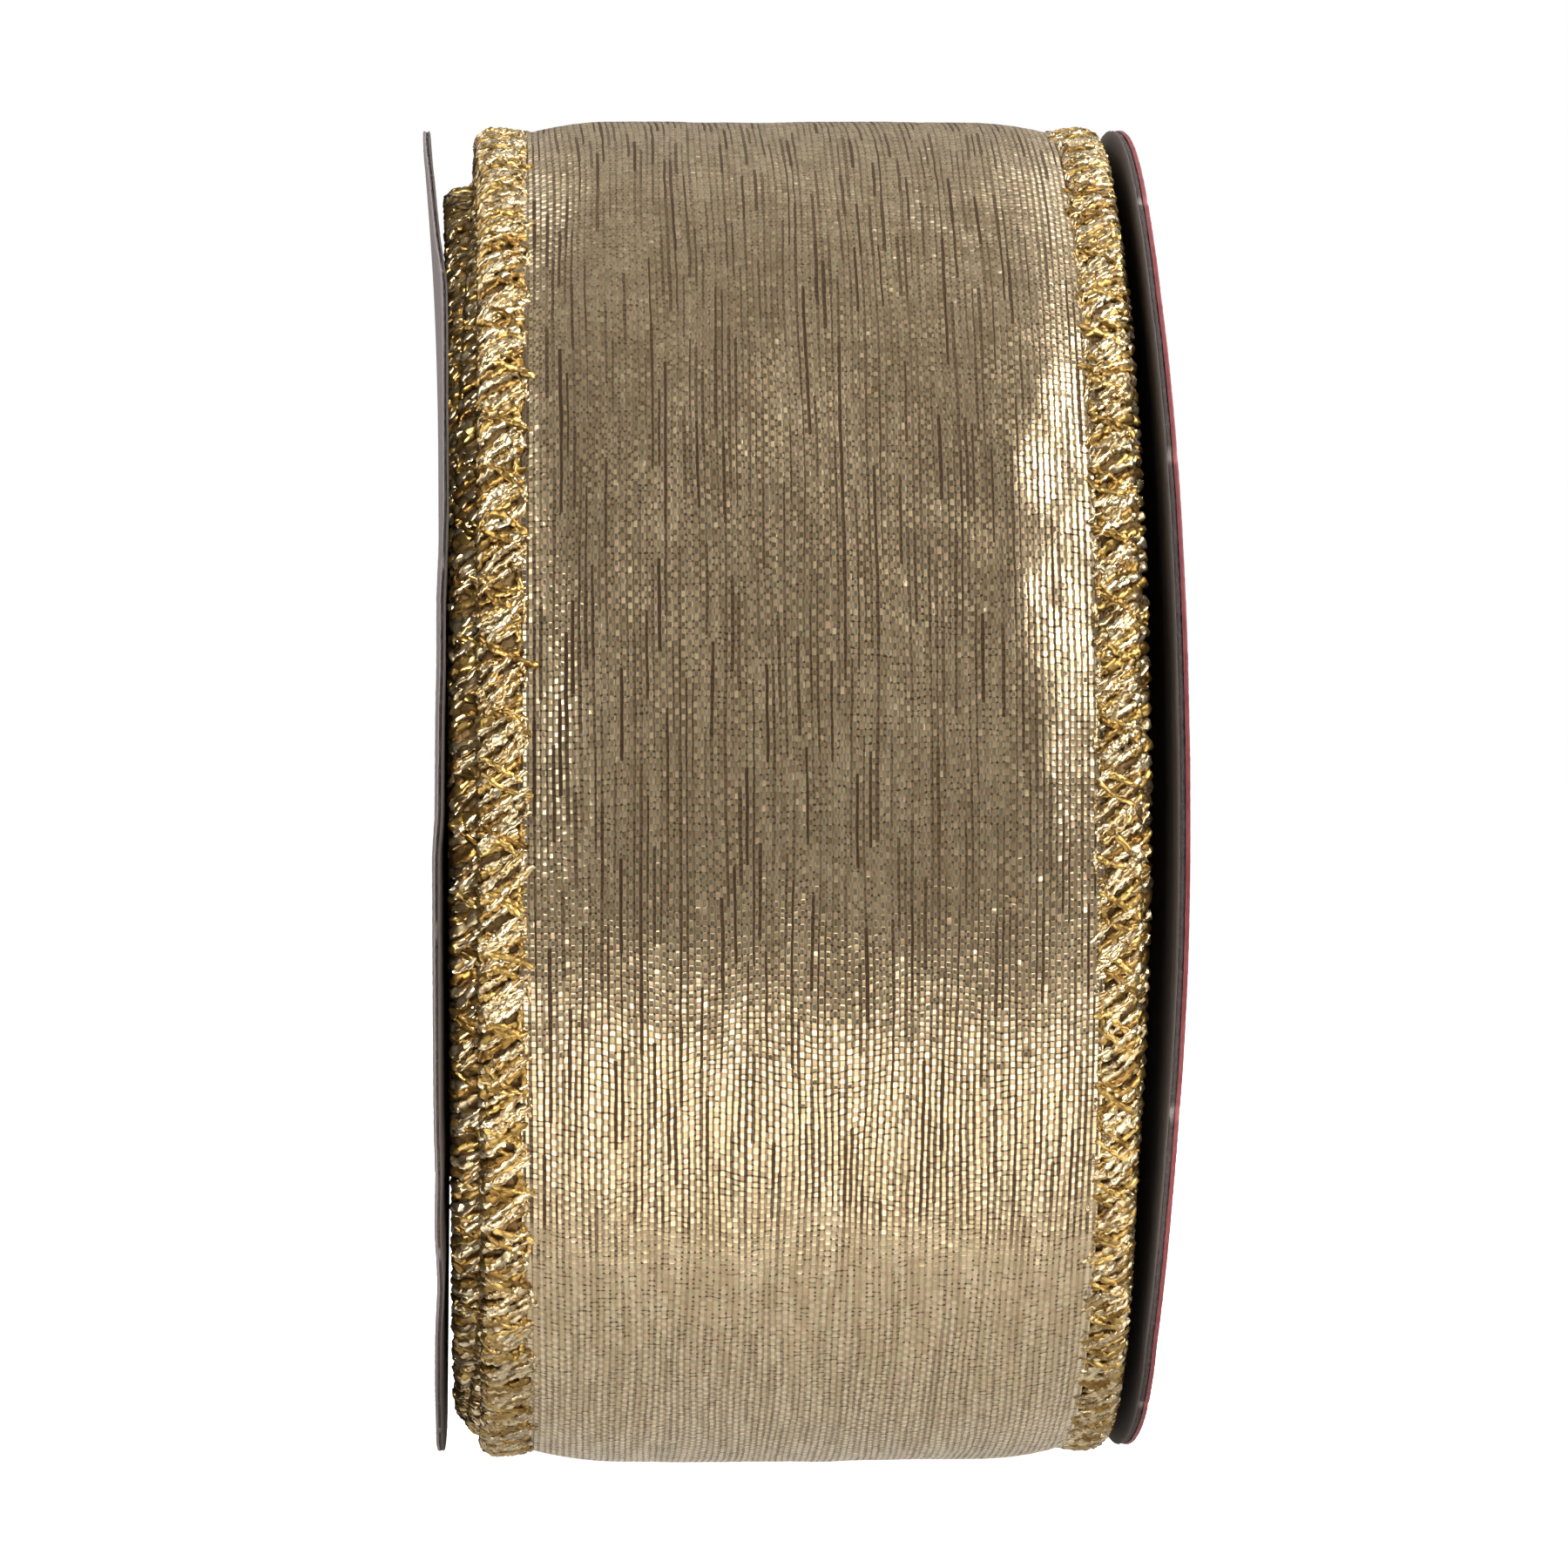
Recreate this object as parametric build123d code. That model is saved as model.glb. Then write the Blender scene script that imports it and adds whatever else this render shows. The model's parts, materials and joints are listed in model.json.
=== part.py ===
from build123d import *
from functools import partial
import math
import os

# Gift-ribbon spool: two paperboard discs glued to a paper tube, with a wired,
# merrow-edged ribbon wound on it and its free end taped down.
# Frame: origin on the spool axis, midway between the discs. +X runs along the
# axis towards the right disc, +Z is up, -Y faces the viewer. Millimetres; degrees
# run from +Y towards +Z.

SIDES = ((-1, "left"), (1, "right"))
play = 0.02              # glue-line and bedding clearances

# discs
disc_d = 81.0
hole_d = 25.4            # spindle hole
disc_gap = 40.65         # clear space between the discs
board_t = 0.40           # greyboard
liner_t = 0.075          # paper liner on each face of the board
nick_count = 12          # die nicks round each rim
nick_w = 1.1
nick_depth = 0.25
nick_start = {"left": 11.5, "right": 27.5}   # angle of each disc's first nick

# core tube
core_od = 50.8
core_joint_d = 49.2      # joint between the tube's two plies
core_id = 47.6
core_len = disc_gap - 2 * play
bead_leg = 1.3           # leg of the hot-melt fillet inside each end of the tube

# ribbon
ribbon_w = 38.0          # edge to edge
merrow_w = 2.8           # width of the overlocked edge
merrow_t = 1.08          # thickness of the overlocked edge
merrow_outer = ribbon_w / 2
merrow_inner = merrow_outer - merrow_w
outer_chamfer = 0.26     # also the axial run of the inner chamfer
inner_chamfer = 0.12     # radial drop of the inner chamfer
merrow_fit = 0.03        # clearance round the web and the wire
mouth_rise = 0.16        # flare where the web enters the overlock
mouth_len = 0.35
web_t = 0.22
web_crown = 1.05         # how far the web bulges outward from its edges
web_half = 17.80         # half width of the web, hidden ends included
crown_half = 12.8        # half width of the flat top of the bulge
wire_d = 0.40            # edge wire
wire_x = 18.30           # wire centre, from the middle of the ribbon

# winding: half circles on two alternating centres
pitch = 1.235            # radial growth per turn
half_turns = 24          # full turns under the free end, counted in halves
start_gap = 0.03         # clearance between the tube and the first turn
first_r = core_od / 2 + merrow_t / 2 + pitch / 4 + start_gap
end_angle = -10.0        # where the free end starts

# free end: bent segments that carry on the spiral
tail_step = 27.0         # arc of each segment
tail_count = 3
hinge_gap = 0.60         # space left for each bend

# glue dab between the tube and the start of the ribbon
dab_base_half = 6
dab_top_half = 5
dab_top_gap = 0.05       # clearance under the web
dab_start = 2.5
dab_arc = 12

# clear tape over the end of the ribbon
tape_t = 0.06
tape_w = 19.0
tape_ease = 0.25         # radial size of the bend at each end of the step


# ------------------------------------------------------------------- helpers
def arc_radius(k):
    return first_r + k * pitch / 2


def arc_centre(k):
    """Y of the centre of arc k."""
    return -pitch / 4 if k % 2 == 0 else pitch / 4


def hinge_trim(k):
    """Angle that half a hinge gap takes up on arc k."""
    return math.degrees(hinge_gap / 2 / arc_radius(k))


def to_place(shape):
    """Turn a wound piece so that the free end starts at end_angle."""
    return shape.rotate(Axis.X, end_angle)


def polygon(points):
    return make_face(Polyline(*points, close=True))


def ring(outer_r, inner_r, x_start, x_end):
    length = x_end - x_start
    tube = Cylinder(outer_r, length) - Cylinder(inner_r, length * 3)
    return Pos((x_start + x_end) / 2, 0, 0) * Rot(0, 90, 0) * tube


# --------------------------------------------------------------------- discs
def disc_layer(side, name, near, far):
    """One layer of a disc, between two distances from the middle, with nicked rim."""
    x_start, x_end = sorted((side * near, side * far))
    layer = ring(disc_d / 2, hole_d / 2, x_start, x_end)
    for n in range(nick_count):
        angle = nick_start[name] + 360 * n / nick_count
        cutter = Box(2 * disc_gap, 2 * nick_depth, nick_w)
        layer = layer - Rot(angle, 0, 0) * Pos(0, disc_d / 2, 0) * cutter
    return layer


def make_discs():
    layers = (("inner_liner", liner_t), ("board", board_t), ("outer_liner", liner_t))
    discs = {}
    for side, name in SIDES:
        near = disc_gap / 2
        for layer, thickness in layers:
            far = near + thickness
            discs[f"{name}_disc_{layer}"] = disc_layer(side, name, near, far)
            near = far
    return discs


# ------------------------------------------------------------- core and glue
def core_ply(outer_r, inner_r):
    return ring(outer_r, inner_r, -core_len / 2, core_len / 2)


def glue_bead(side):
    """Fillet of glue in the corner between the tube's bore and a disc."""
    radius = core_id / 2 - play
    x = side * core_len / 2
    section = polygon([
        (x, radius),
        (x - side * bead_leg, radius),
        (x - side * bead_leg * 0.35, radius - bead_leg * 0.55),
        (x, radius - bead_leg),
    ])
    return revolve(section, axis=Axis.X)


def start_glue_dab():
    low = core_od / 2 + play
    high = first_r - pitch / 4 + web_crown - web_t / 2 - dab_top_gap
    section = polygon([(-dab_base_half, low), (dab_base_half, low),
                       (dab_top_half, high), (-dab_top_half, high)])
    dab = revolve(section, axis=Axis.X, revolution_arc=dab_arc)
    return to_place(dab.rotate(Axis.X, dab_start))


# ---------------------- ribbon cross-sections, in XY with mid-thickness at y
def web_section(y):
    middle = [(-web_half, 0), (-merrow_inner, 0), (-crown_half, web_crown),
              (crown_half, web_crown), (merrow_inner, 0), (web_half, 0)]
    top = [(x, y + height + web_t / 2) for x, height in middle]
    bottom = [(x, y + height - web_t / 2) for x, height in middle]
    return polygon(top + bottom[::-1])


def merrow_section(side, y):
    """Chamfered overlock, with a slot for the web and a channel for the wire."""
    inner, outer = merrow_inner, merrow_outer
    half_t = merrow_t / 2
    slot = web_t / 2 + merrow_fit
    reach = wire_d / 2 + merrow_fit
    near_wall, far_wall = wire_x - reach, wire_x + reach
    points = [
        # outside, from the slot's mouth round the ribbon's edge and back
        (inner, slot + mouth_rise),
        (inner, half_t - inner_chamfer),
        (inner + outer_chamfer, half_t),
        (outer - outer_chamfer, half_t),
        (outer, half_t - outer_chamfer),
        (outer, outer_chamfer - half_t),
        (outer - outer_chamfer, -half_t),
        (inner + outer_chamfer, -half_t),
        (inner, inner_chamfer - half_t),
        # slot and wire channel; the mouth flares outward for the sloping web
        (inner, -slot),
        (near_wall, -slot),
        (near_wall, -reach),
        (far_wall, -reach),
        (far_wall, reach),
        (near_wall, reach),
        (near_wall, slot),
        (inner + mouth_len, slot),
    ]
    return polygon([(side * x, y + height) for x, height in points])


def wire_section(side, y):
    return Pos(side * wire_x, y) * Circle(wire_d / 2)


# ------------------------------------------------------------ wound ribbon
def swept(section_at, k, start, stop):
    """Revolve a cross-section about the centre of arc k, from start to stop."""
    axis = Axis((0, arc_centre(k), 0), (1, 0, 0))
    section = section_at(arc_centre(k) + arc_radius(k))
    return revolve(section, axis=axis, revolution_arc=stop - start).rotate(axis, start)


def wound(section_at):
    """One continuous spiral solid, trimmed at its end for the first bend."""
    arcs = []
    for k in range(half_turns):
        start = 0 if k % 2 == 0 else 180
        span = 180.0
        if k == half_turns - 1:
            span -= hinge_trim(k)
        arcs.append(swept(section_at, k, start, start + span).solid())
    solids = arcs[0].fuse(*arcs[1:]).solids()
    assert len(solids) == 1, f"spiral came out as {len(solids)} solids"
    return to_place(solids[0])


def tail_segment(section_at, n):
    trim = hinge_trim(half_turns)
    start = n * tail_step + trim
    stop = (n + 1) * tail_step - trim
    return to_place(swept(section_at, half_turns, start, stop))


def make_ribbon():
    strands = {"web": web_section}
    for side, name in SIDES:
        strands[f"merrow_{name}"] = partial(merrow_section, side)
        strands[f"wire_{name}"] = partial(wire_section, side)

    ribbon = {}
    for strand, section_at in strands.items():
        ribbon[f"wound_{strand}"] = wound(section_at)
        for n in range(tail_count):
            ribbon[f"tail_{n + 1}_{strand}"] = tail_segment(section_at, n)
    return ribbon


def end_tape():
    """Tape on the last segment, then down a step onto the turn below."""
    high = arc_radius(half_turns) + web_crown + web_t / 2 + play
    low = high - pitch
    # radius of the tape's underside, degrees past the ribbon's end
    path = [(high, angle) for angle in range(-11, 0, 2)]
    path += [(high, 0), (high - tape_ease, 0.9), (low + tape_ease, 2.6), (low, 3.5)]
    path += [(low, angle) for angle in range(5, 15, 2)]

    def surface(lift):
        points = []
        for radius, past_end in path:
            angle = math.radians(tail_count * tail_step + past_end)
            points.append((arc_centre(half_turns) + (radius + lift) * math.cos(angle),
                           (radius + lift) * math.sin(angle)))
        return points

    outline = Polyline(*(surface(0) + surface(tape_t)[::-1]), close=True)
    profile = make_face(Plane.YZ * outline)
    return to_place(extrude(profile, amount=tape_w / 2, both=True))


# ---------------------------------------------------------- build and save
def save(name, shape):
    solids = shape.solids()
    piece = solids[0] if len(solids) == 1 else Compound(children=list(solids))
    piece.label = name
    export_step(piece, f"parts/{name}.step")


parts = make_discs()
parts["core_outer_ply"] = core_ply(core_od / 2, core_joint_d / 2 + play / 2)
parts["core_inner_ply"] = core_ply(core_joint_d / 2 - play / 2, core_id / 2)
for side, name in SIDES:
    parts[f"{name}_glue_bead"] = glue_bead(side)
parts["start_glue_dab"] = start_glue_dab()
parts.update(make_ribbon())
parts["end_tape"] = end_tape()

os.makedirs("parts", exist_ok=True)
for name, shape in parts.items():
    save(name, shape)
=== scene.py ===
"""Wired metallic ribbon wound on a card tube between two greyboard discs, cut end taped down.

The spool's axis is x: the plain left disc is at -x, the printed right one at +x. The viewer
looks along +y and z is up. Shapes are worked out in millimetres. Wound angles are in degrees
from the ribbon's inner end; polar angles run from +y towards +z.
"""
import json
import math
from collections import namedtuple

import bpy
import numpy as np
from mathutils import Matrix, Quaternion, Vector

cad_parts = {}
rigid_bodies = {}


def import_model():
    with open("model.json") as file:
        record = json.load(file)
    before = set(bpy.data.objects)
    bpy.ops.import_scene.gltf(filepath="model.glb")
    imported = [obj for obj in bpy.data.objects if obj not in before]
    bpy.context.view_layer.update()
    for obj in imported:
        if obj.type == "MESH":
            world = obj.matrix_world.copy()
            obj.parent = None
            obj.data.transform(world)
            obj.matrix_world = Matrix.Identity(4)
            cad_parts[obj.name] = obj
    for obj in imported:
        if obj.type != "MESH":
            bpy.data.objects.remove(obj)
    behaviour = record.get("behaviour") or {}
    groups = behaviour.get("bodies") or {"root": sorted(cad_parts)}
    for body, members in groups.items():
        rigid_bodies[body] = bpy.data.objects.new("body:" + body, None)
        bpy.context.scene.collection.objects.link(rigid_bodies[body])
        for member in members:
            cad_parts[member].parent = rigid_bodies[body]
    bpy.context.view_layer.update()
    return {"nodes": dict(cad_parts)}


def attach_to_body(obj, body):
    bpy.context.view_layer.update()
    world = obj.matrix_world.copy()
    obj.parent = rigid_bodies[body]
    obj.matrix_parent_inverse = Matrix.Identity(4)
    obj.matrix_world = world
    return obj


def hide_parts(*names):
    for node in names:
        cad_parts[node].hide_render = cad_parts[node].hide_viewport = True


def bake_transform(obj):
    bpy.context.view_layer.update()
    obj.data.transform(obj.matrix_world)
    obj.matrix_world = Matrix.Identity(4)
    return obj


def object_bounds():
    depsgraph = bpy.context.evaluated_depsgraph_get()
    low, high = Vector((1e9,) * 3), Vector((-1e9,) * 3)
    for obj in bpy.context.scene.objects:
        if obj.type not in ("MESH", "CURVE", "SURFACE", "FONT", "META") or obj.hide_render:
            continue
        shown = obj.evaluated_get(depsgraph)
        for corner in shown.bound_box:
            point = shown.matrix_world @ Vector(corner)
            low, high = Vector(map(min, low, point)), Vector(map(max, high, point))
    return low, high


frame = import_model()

MM = 0.001
scene = bpy.context.scene
SIDES = ((-1, "left"), (1, "right"))

# ------------------------------------------------------------------ the wind
# A two-centre spiral: half circles whose radius grows by half a pitch each.
PITCH = 1.235
HALF_TURNS = 24
END_ANGLE = -10.0        # polar angle at which the wind starts
BEND_STEP = 27.0         # wound angle between bends of the free end
CORE_R = 25.4
EDGE_THICK = 1.08
CLEARANCE = 0.03
FIRST_R = CORE_R + EDGE_THICK / 2 + PITCH / 4 + CLEARANCE
HALF_WIDTH = 19.0        # ribbon, overlocked edges included
WEB_HALF_WIDTH = 16.55
TAIL_ANGLE = 180.0 * HALF_TURNS
END = TAIL_ANGLE + 3 * BEND_STEP
LAST_TURN = TAIL_ANGLE - 360
CELL_LENGTH = 0.355      # one weave crossing along the ribbon
STRIPS = 89              # woven strips across the web
STITCH = 3.55            # overlock pitch
KNOT_ANGLES = np.arange(HALF_TURNS + 2) * 180.0
KNOT_LENGTHS = np.concatenate(
    [[0], np.cumsum(math.pi * (FIRST_R + np.arange(HALF_TURNS + 1) * PITCH / 2))])
TAIL_HALF_ARC = math.pi * (FIRST_R + HALF_TURNS * PITCH / 2)

# wound angle, sideways shift of the ribbon
DRIFT = [(0, 0), (600, -0.6), (1500, -1.0), (2080, -1.2), (2350, -1.2), (2418, -1.2),
         (2450, -0.6), (2530, -1.0), (2710, -1.2), (2800, -0.6), (2890, -1.0), (2980, -1.25),
         (3070, -1.15), (3160, -0.6), (3250, 0.0), (3340, 0.8), (3430, -1.05), (3475, -1.05),
         (3520, -0.6), (3610, 0.3), (3700, 0.85), (3790, 0.9), (3880, -0.15), (3970, 0.6),
         (4060, 0.8), (4150, 0.22), (4240, 0.75), (4330, 0.65), (4401, 0.6)]
DRIFT_ANGLES, DRIFT_SHIFTS = zip(*DRIFT)


def length_at(angle):
    """Length along the ribbon at a wound angle."""
    return np.interp(angle, KNOT_ANGLES, KNOT_LENGTHS)


def angle_at(length):
    return np.interp(length, KNOT_LENGTHS, KNOT_ANGLES)


def place(angle, lift, x):
    """Wound angle, height above the ribbon's middle plane and x -> xyz in mm."""
    angle, lift, x = np.broadcast_arrays(
        np.asarray(angle, float), np.asarray(lift, float), np.asarray(x, float))
    half_turn = np.clip(np.floor(angle / 180.0), 0, HALF_TURNS)
    radius = FIRST_R + half_turn * PITCH / 2
    centre = np.where(half_turn % 2 == 0, -PITCH / 4, PITCH / 4)
    turn, tilt = np.radians(angle), math.radians(END_ANGLE)
    y = centre + (radius + lift) * np.cos(turn)
    z = (radius + lift) * np.sin(turn)
    return np.stack([x, y * math.cos(tilt) - z * math.sin(tilt),
                     y * math.sin(tilt) + z * math.cos(tilt)], -1)


def smooth_interp(at, knots, values):
    """Cubic Hermite through the knots, with flat-limited slopes."""
    at, knots, values = (np.asarray(a, float) for a in (at, knots, values))
    slopes = np.zeros_like(values)
    rise = np.diff(values) / np.diff(knots)
    slopes[1:-1] = np.where(rise[1:] * rise[:-1] > 0,
                            2 * rise[1:] * rise[:-1] / (rise[1:] + rise[:-1] + 1e-12), 0)
    i = np.clip(np.searchsorted(knots, at, side="right") - 1, 0, len(knots) - 2)
    gap = knots[i + 1] - knots[i]
    t = np.clip((at - knots[i]) / gap, 0, 1)
    return ((2 * t**3 - 3 * t**2 + 1) * values[i] + (t**3 - 2 * t**2 + t) * gap * slopes[i]
            + (-2 * t**3 + 3 * t**2) * values[i + 1] + (t**3 - t**2) * gap * slopes[i + 1])


def drift(angle):
    return np.maximum(smooth_interp(angle, DRIFT_ANGLES, DRIFT_SHIFTS) - 0.225, -1.28)


def pair_hash(i, j):
    """Repeatable random numbers in 0..1 for whole-number pairs."""
    i, j = np.asarray(i, np.int64), np.asarray(j, np.int64)
    h = (i * 73856093 ^ j * 19349663 ^ 14 * 83492791) & 0x7FFFFFFF
    h = (h ^ (h >> 13)) * 1274126177 & 0x7FFFFFFF
    h = (h ^ (h >> 16)) * 668265263 & 0x7FFFFFFF
    return ((h ^ (h >> 15)) & 0xFFFFFF) / float(0x1000000)


def waves(u, v, seed, scale):
    """Smooth seeded unevenness, about -1..1."""
    rng = np.random.default_rng(seed)
    total = 0
    for _ in range(7):
        freq = rng.uniform(0.4, 1.6, 2) / scale * rng.choice([-1, 1], 2)
        phase = 2 * math.pi * (freq[0] * u + freq[1] * v) + rng.uniform(0, 6.28)
        total = total + math.sqrt(2 / 7) * np.sin(phase)
    return total


# ------------------------------------------------------------ mesh utilities
def mesh_object(name, verts, quads, material, attribute=None, values=None, smooth=True, rims=()):
    """Mesh from mm points; edges with both ends in one of the rim masks are sharp."""
    mesh = bpy.data.meshes.new(name)
    verts = np.asarray(verts, np.float32) * MM
    quads = np.asarray(quads, np.int32)
    mesh.vertices.add(len(verts))
    mesh.vertices.foreach_set("co", verts.ravel())
    mesh.loops.add(quads.size)
    mesh.loops.foreach_set("vertex_index", quads.ravel())
    mesh.polygons.add(len(quads))
    starts = np.arange(0, quads.size, quads.shape[1], dtype=np.int32)
    mesh.polygons.foreach_set("loop_start", starts)
    smooth = np.broadcast_to(np.asarray(smooth, bool), (len(quads),)).copy()
    mesh.polygons.foreach_set("use_smooth", smooth)
    if attribute:
        layer = mesh.attributes.new(attribute, "FLOAT_VECTOR", "POINT")
        layer.data.foreach_set("vector", np.asarray(values, np.float32).ravel())
    mesh.update(calc_edges=True)
    if rims:
        ends = np.zeros(len(mesh.edges) * 2, np.int32)
        mesh.edges.foreach_get("vertices", ends)
        ends = ends.reshape(-1, 2)
        hard = np.zeros(len(ends), bool)
        for rim in rims:
            hard |= rim[ends[:, 0]] & rim[ends[:, 1]]
        mesh.attributes.new("sharp_edge", "BOOLEAN", "EDGE").data.foreach_set("value", hard)
    ob = bpy.data.objects.new(name, mesh)
    scene.collection.objects.link(ob)
    mesh.materials.append(material)
    return ob


def grid_quads(rows, cols, base=0, wrap_rows=False, wrap_cols=False, flip=False):
    i, j = np.meshgrid(np.arange(rows if wrap_rows else rows - 1),
                       np.arange(cols if wrap_cols else cols - 1), indexing="ij")
    i2, j2 = (i + 1) % rows, (j + 1) % cols
    corners = [i * cols + j, i * cols + j2, i2 * cols + j2, i2 * cols + j]
    quads = np.stack(corners, -1).reshape(-1, 4) + base
    return quads[:, ::-1] if flip else quads


def sheet_quads(rows, cols):
    """Faces of a thin sheet: top grid, bottom grid, then the four rims."""
    count = rows * cols
    parts = [grid_quads(rows, cols), grid_quads(rows, cols, count, flip=True)]
    index = np.arange(count).reshape(rows, cols)
    for line, flip in ((index[:, 0], False), (index[:, -1], True),
                       (index[0], True), (index[-1], False)):
        a, b = line[:-1], line[1:]
        quads = np.stack([a, b, b + count, a + count], -1)
        parts.append(quads[:, ::-1] if flip else quads)
    return parts


def lathe(name, degrees, x, radius, material, flip, attribute=None, values=None):
    """Closed ring about the x axis; rows are polar angles, columns go round the section."""
    turn = np.radians(degrees)
    verts = np.stack([x, radius * np.cos(turn), radius * np.sin(turn)], -1).reshape(-1, 3)
    quads = grid_quads(*degrees.shape, wrap_rows=True, wrap_cols=True, flip=flip)
    return mesh_object(name, verts, quads, material, attribute, values)


class Tubes:
    """Collects capped tubes into one mesh with a "strand" attribute."""

    def __init__(self):
        self.verts, self.quads, self.values, self.count = [], [], [], 0

    def add(self, points, values):
        """points: rows x cols x 3, joined round the columns."""
        rows, cols = points.shape[:2]
        self.quads.append(grid_quads(rows, cols, self.count, wrap_cols=True))
        for row, order in ((0, 1), (rows - 1, -1)):
            first = self.count + row * cols
            for m in range(cols // 2 - 1):
                quad = [first + m, first + m + 1, first + cols - 2 - m, first + cols - 1 - m]
                self.quads.append(np.array([quad[::order]]))
        self.verts.append(points.reshape(-1, 3))
        self.values.append(values.reshape(-1, 3))
        self.count += rows * cols

    def object(self, name, material):
        return mesh_object(name, np.concatenate(self.verts), np.concatenate(self.quads), material,
                           "strand", np.concatenate(self.values))


def hexagons(centre, wide, tall, shoulder):
    """Flat six-sided sections; wide and tall are full-size vectors."""
    corners = [(0.5, 0.0), (shoulder, 0.5), (-shoulder, 0.5),
               (-0.5, 0.0), (-shoulder, -0.5), (shoulder, -0.5)]
    return np.stack([centre + wide * a + tall * b for a, b in corners], -2)


def strand_values(shape, along, number):
    values = np.zeros(shape)
    values[..., 0] = along[..., None]
    values[..., 1] = np.array([1.0, 0.5, -0.5, -1.0, -0.5, 0.5])
    values[..., 2] = number
    return values


def unit(vectors):
    return vectors / (np.linalg.norm(vectors, axis=-1, keepdims=True) + 1e-9)


# ------------------------------------------------------------ shader helpers
class Net:
    """Builds the node tree of a material or a world."""

    def __init__(self, owner, output="ShaderNodeOutputMaterial"):
        owner.use_nodes = True
        self.owner, self.tree = owner, owner.node_tree
        self.tree.nodes.clear()
        self.out = self.new(output)

    def put(self, socket, value):
        if isinstance(value, bpy.types.NodeSocket):
            self.tree.links.new(value, socket)
            return
        if hasattr(value, "__len__") and len(value) == 3 and len(socket.default_value) == 4:
            value = (*value, 1.0)
        socket.default_value = value

    def new(self, kind, inputs=None, **props):
        node = self.tree.nodes.new(kind)
        for key, value in props.items():
            setattr(node, key, value)
        for key, value in (inputs or {}).items():
            self.put(node.inputs[key], value)
        return node

    def node(self, kind, inputs=None, output=0, **props):
        """A new node's output socket."""
        return self.new(kind, inputs, **props).outputs[output]

    def math(self, op, *values, clamp=False):
        return self.node("ShaderNodeMath", dict(enumerate(values)), operation=op, use_clamp=clamp)

    def add(self, a, b, clamp=False):
        return self.math("ADD", a, b, clamp=clamp)

    def sub(self, a, b):
        return self.math("SUBTRACT", a, b)

    def mul(self, a, b):
        return self.math("MULTIPLY", a, b)

    def mul_add(self, a, factor, offset):
        return self.math("MULTIPLY_ADD", a, factor, offset)

    def floor(self, a):
        return self.math("FLOOR", a)

    def absolute(self, a):
        return self.math("ABSOLUTE", a)

    def above(self, a, limit):
        return self.math("GREATER_THAN", a, limit)

    def centred(self, a):
        return self.sub(a, 0.5)

    def vector(self, op, *values):
        return self.node("ShaderNodeVectorMath", dict(enumerate(values)), operation=op)

    def scaled(self, vector, scale):
        return self.node("ShaderNodeVectorMath", {0: vector, "Scale": scale}, operation="SCALE")

    def xyz(self, x, y, z):
        return self.node("ShaderNodeCombineXYZ", {0: x, 1: y, 2: z})

    def parts(self, vector):
        return self.new("ShaderNodeSeparateXYZ", {0: vector}).outputs

    def mix(self, factor, a, b, blend="MIX"):
        return self.node("ShaderNodeMix", {0: factor, 6: a, 7: b}, output=2,
                         data_type="RGBA", blend_type=blend, clamp_factor=True)

    def mix_value(self, factor, a, b):
        return self.mul_add(factor, self.sub(b, a), a)

    def fit(self, value, source, target=(0.0, 1.0), smooth=False):
        """Map the source range onto the target range, clamped."""
        inputs = dict(enumerate((value, *source, *target)))
        return self.node("ShaderNodeMapRange", inputs, clamp=True,
                         interpolation_type="SMOOTHSTEP" if smooth else "LINEAR")

    def noise(self, vector, scale, detail=2.0, rough=0.5, output="Fac"):
        inputs = {"Scale": scale, "Detail": detail, "Roughness": rough, "Vector": vector}
        return self.node("ShaderNodeTexNoise", inputs, output, noise_dimensions="3D")

    def random(self, x, y, z, output="Value"):
        return self.node("ShaderNodeTexWhiteNoise", {"Vector": self.xyz(x, y, z)}, output,
                         noise_dimensions="3D")

    def randoms(self, x, y, z):
        """Three random values."""
        return self.parts(self.random(x, y, z, "Color"))

    def attr(self, name):
        """The three parts of a mesh attribute."""
        return self.parts(self.node("ShaderNodeAttribute", output="Vector", attribute_name=name))

    def position(self):
        """Place in the object's own frame, in millimetres."""
        return self.scaled(self.node("ShaderNodeTexCoord", output="Object"), 1000.0)

    def normal(self):
        return self.node("ShaderNodeNewGeometry", output="Normal")

    def lean(self, normal, axis_a, amount_a, axis_b, amount_b):
        """Tip a normal towards two axes."""
        tip = self.vector("ADD", self.scaled(axis_a, amount_a), self.scaled(axis_b, amount_b))
        return self.vector("NORMALIZE", self.vector("ADD", normal, tip))

    def bump(self, height, distance, strength, **normal):
        """distance in mm."""
        return self.node("ShaderNodeBump", {"Strength": strength, "Distance": distance * MM,
                                            "Height": height, **normal})

    def finish(self, shader):
        self.put(self.out.inputs[0], shader)
        return self.owner

    def surface(self, **inputs):
        inputs = {key.replace("_", " "): value for key, value in inputs.items()}
        return self.finish(self.node("ShaderNodeBsdfPrincipled", inputs))


def material_net(name):
    return Net(bpy.data.materials.new(name))


def dimmed(colour, factor):
    return [channel * factor for channel in colour]


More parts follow.
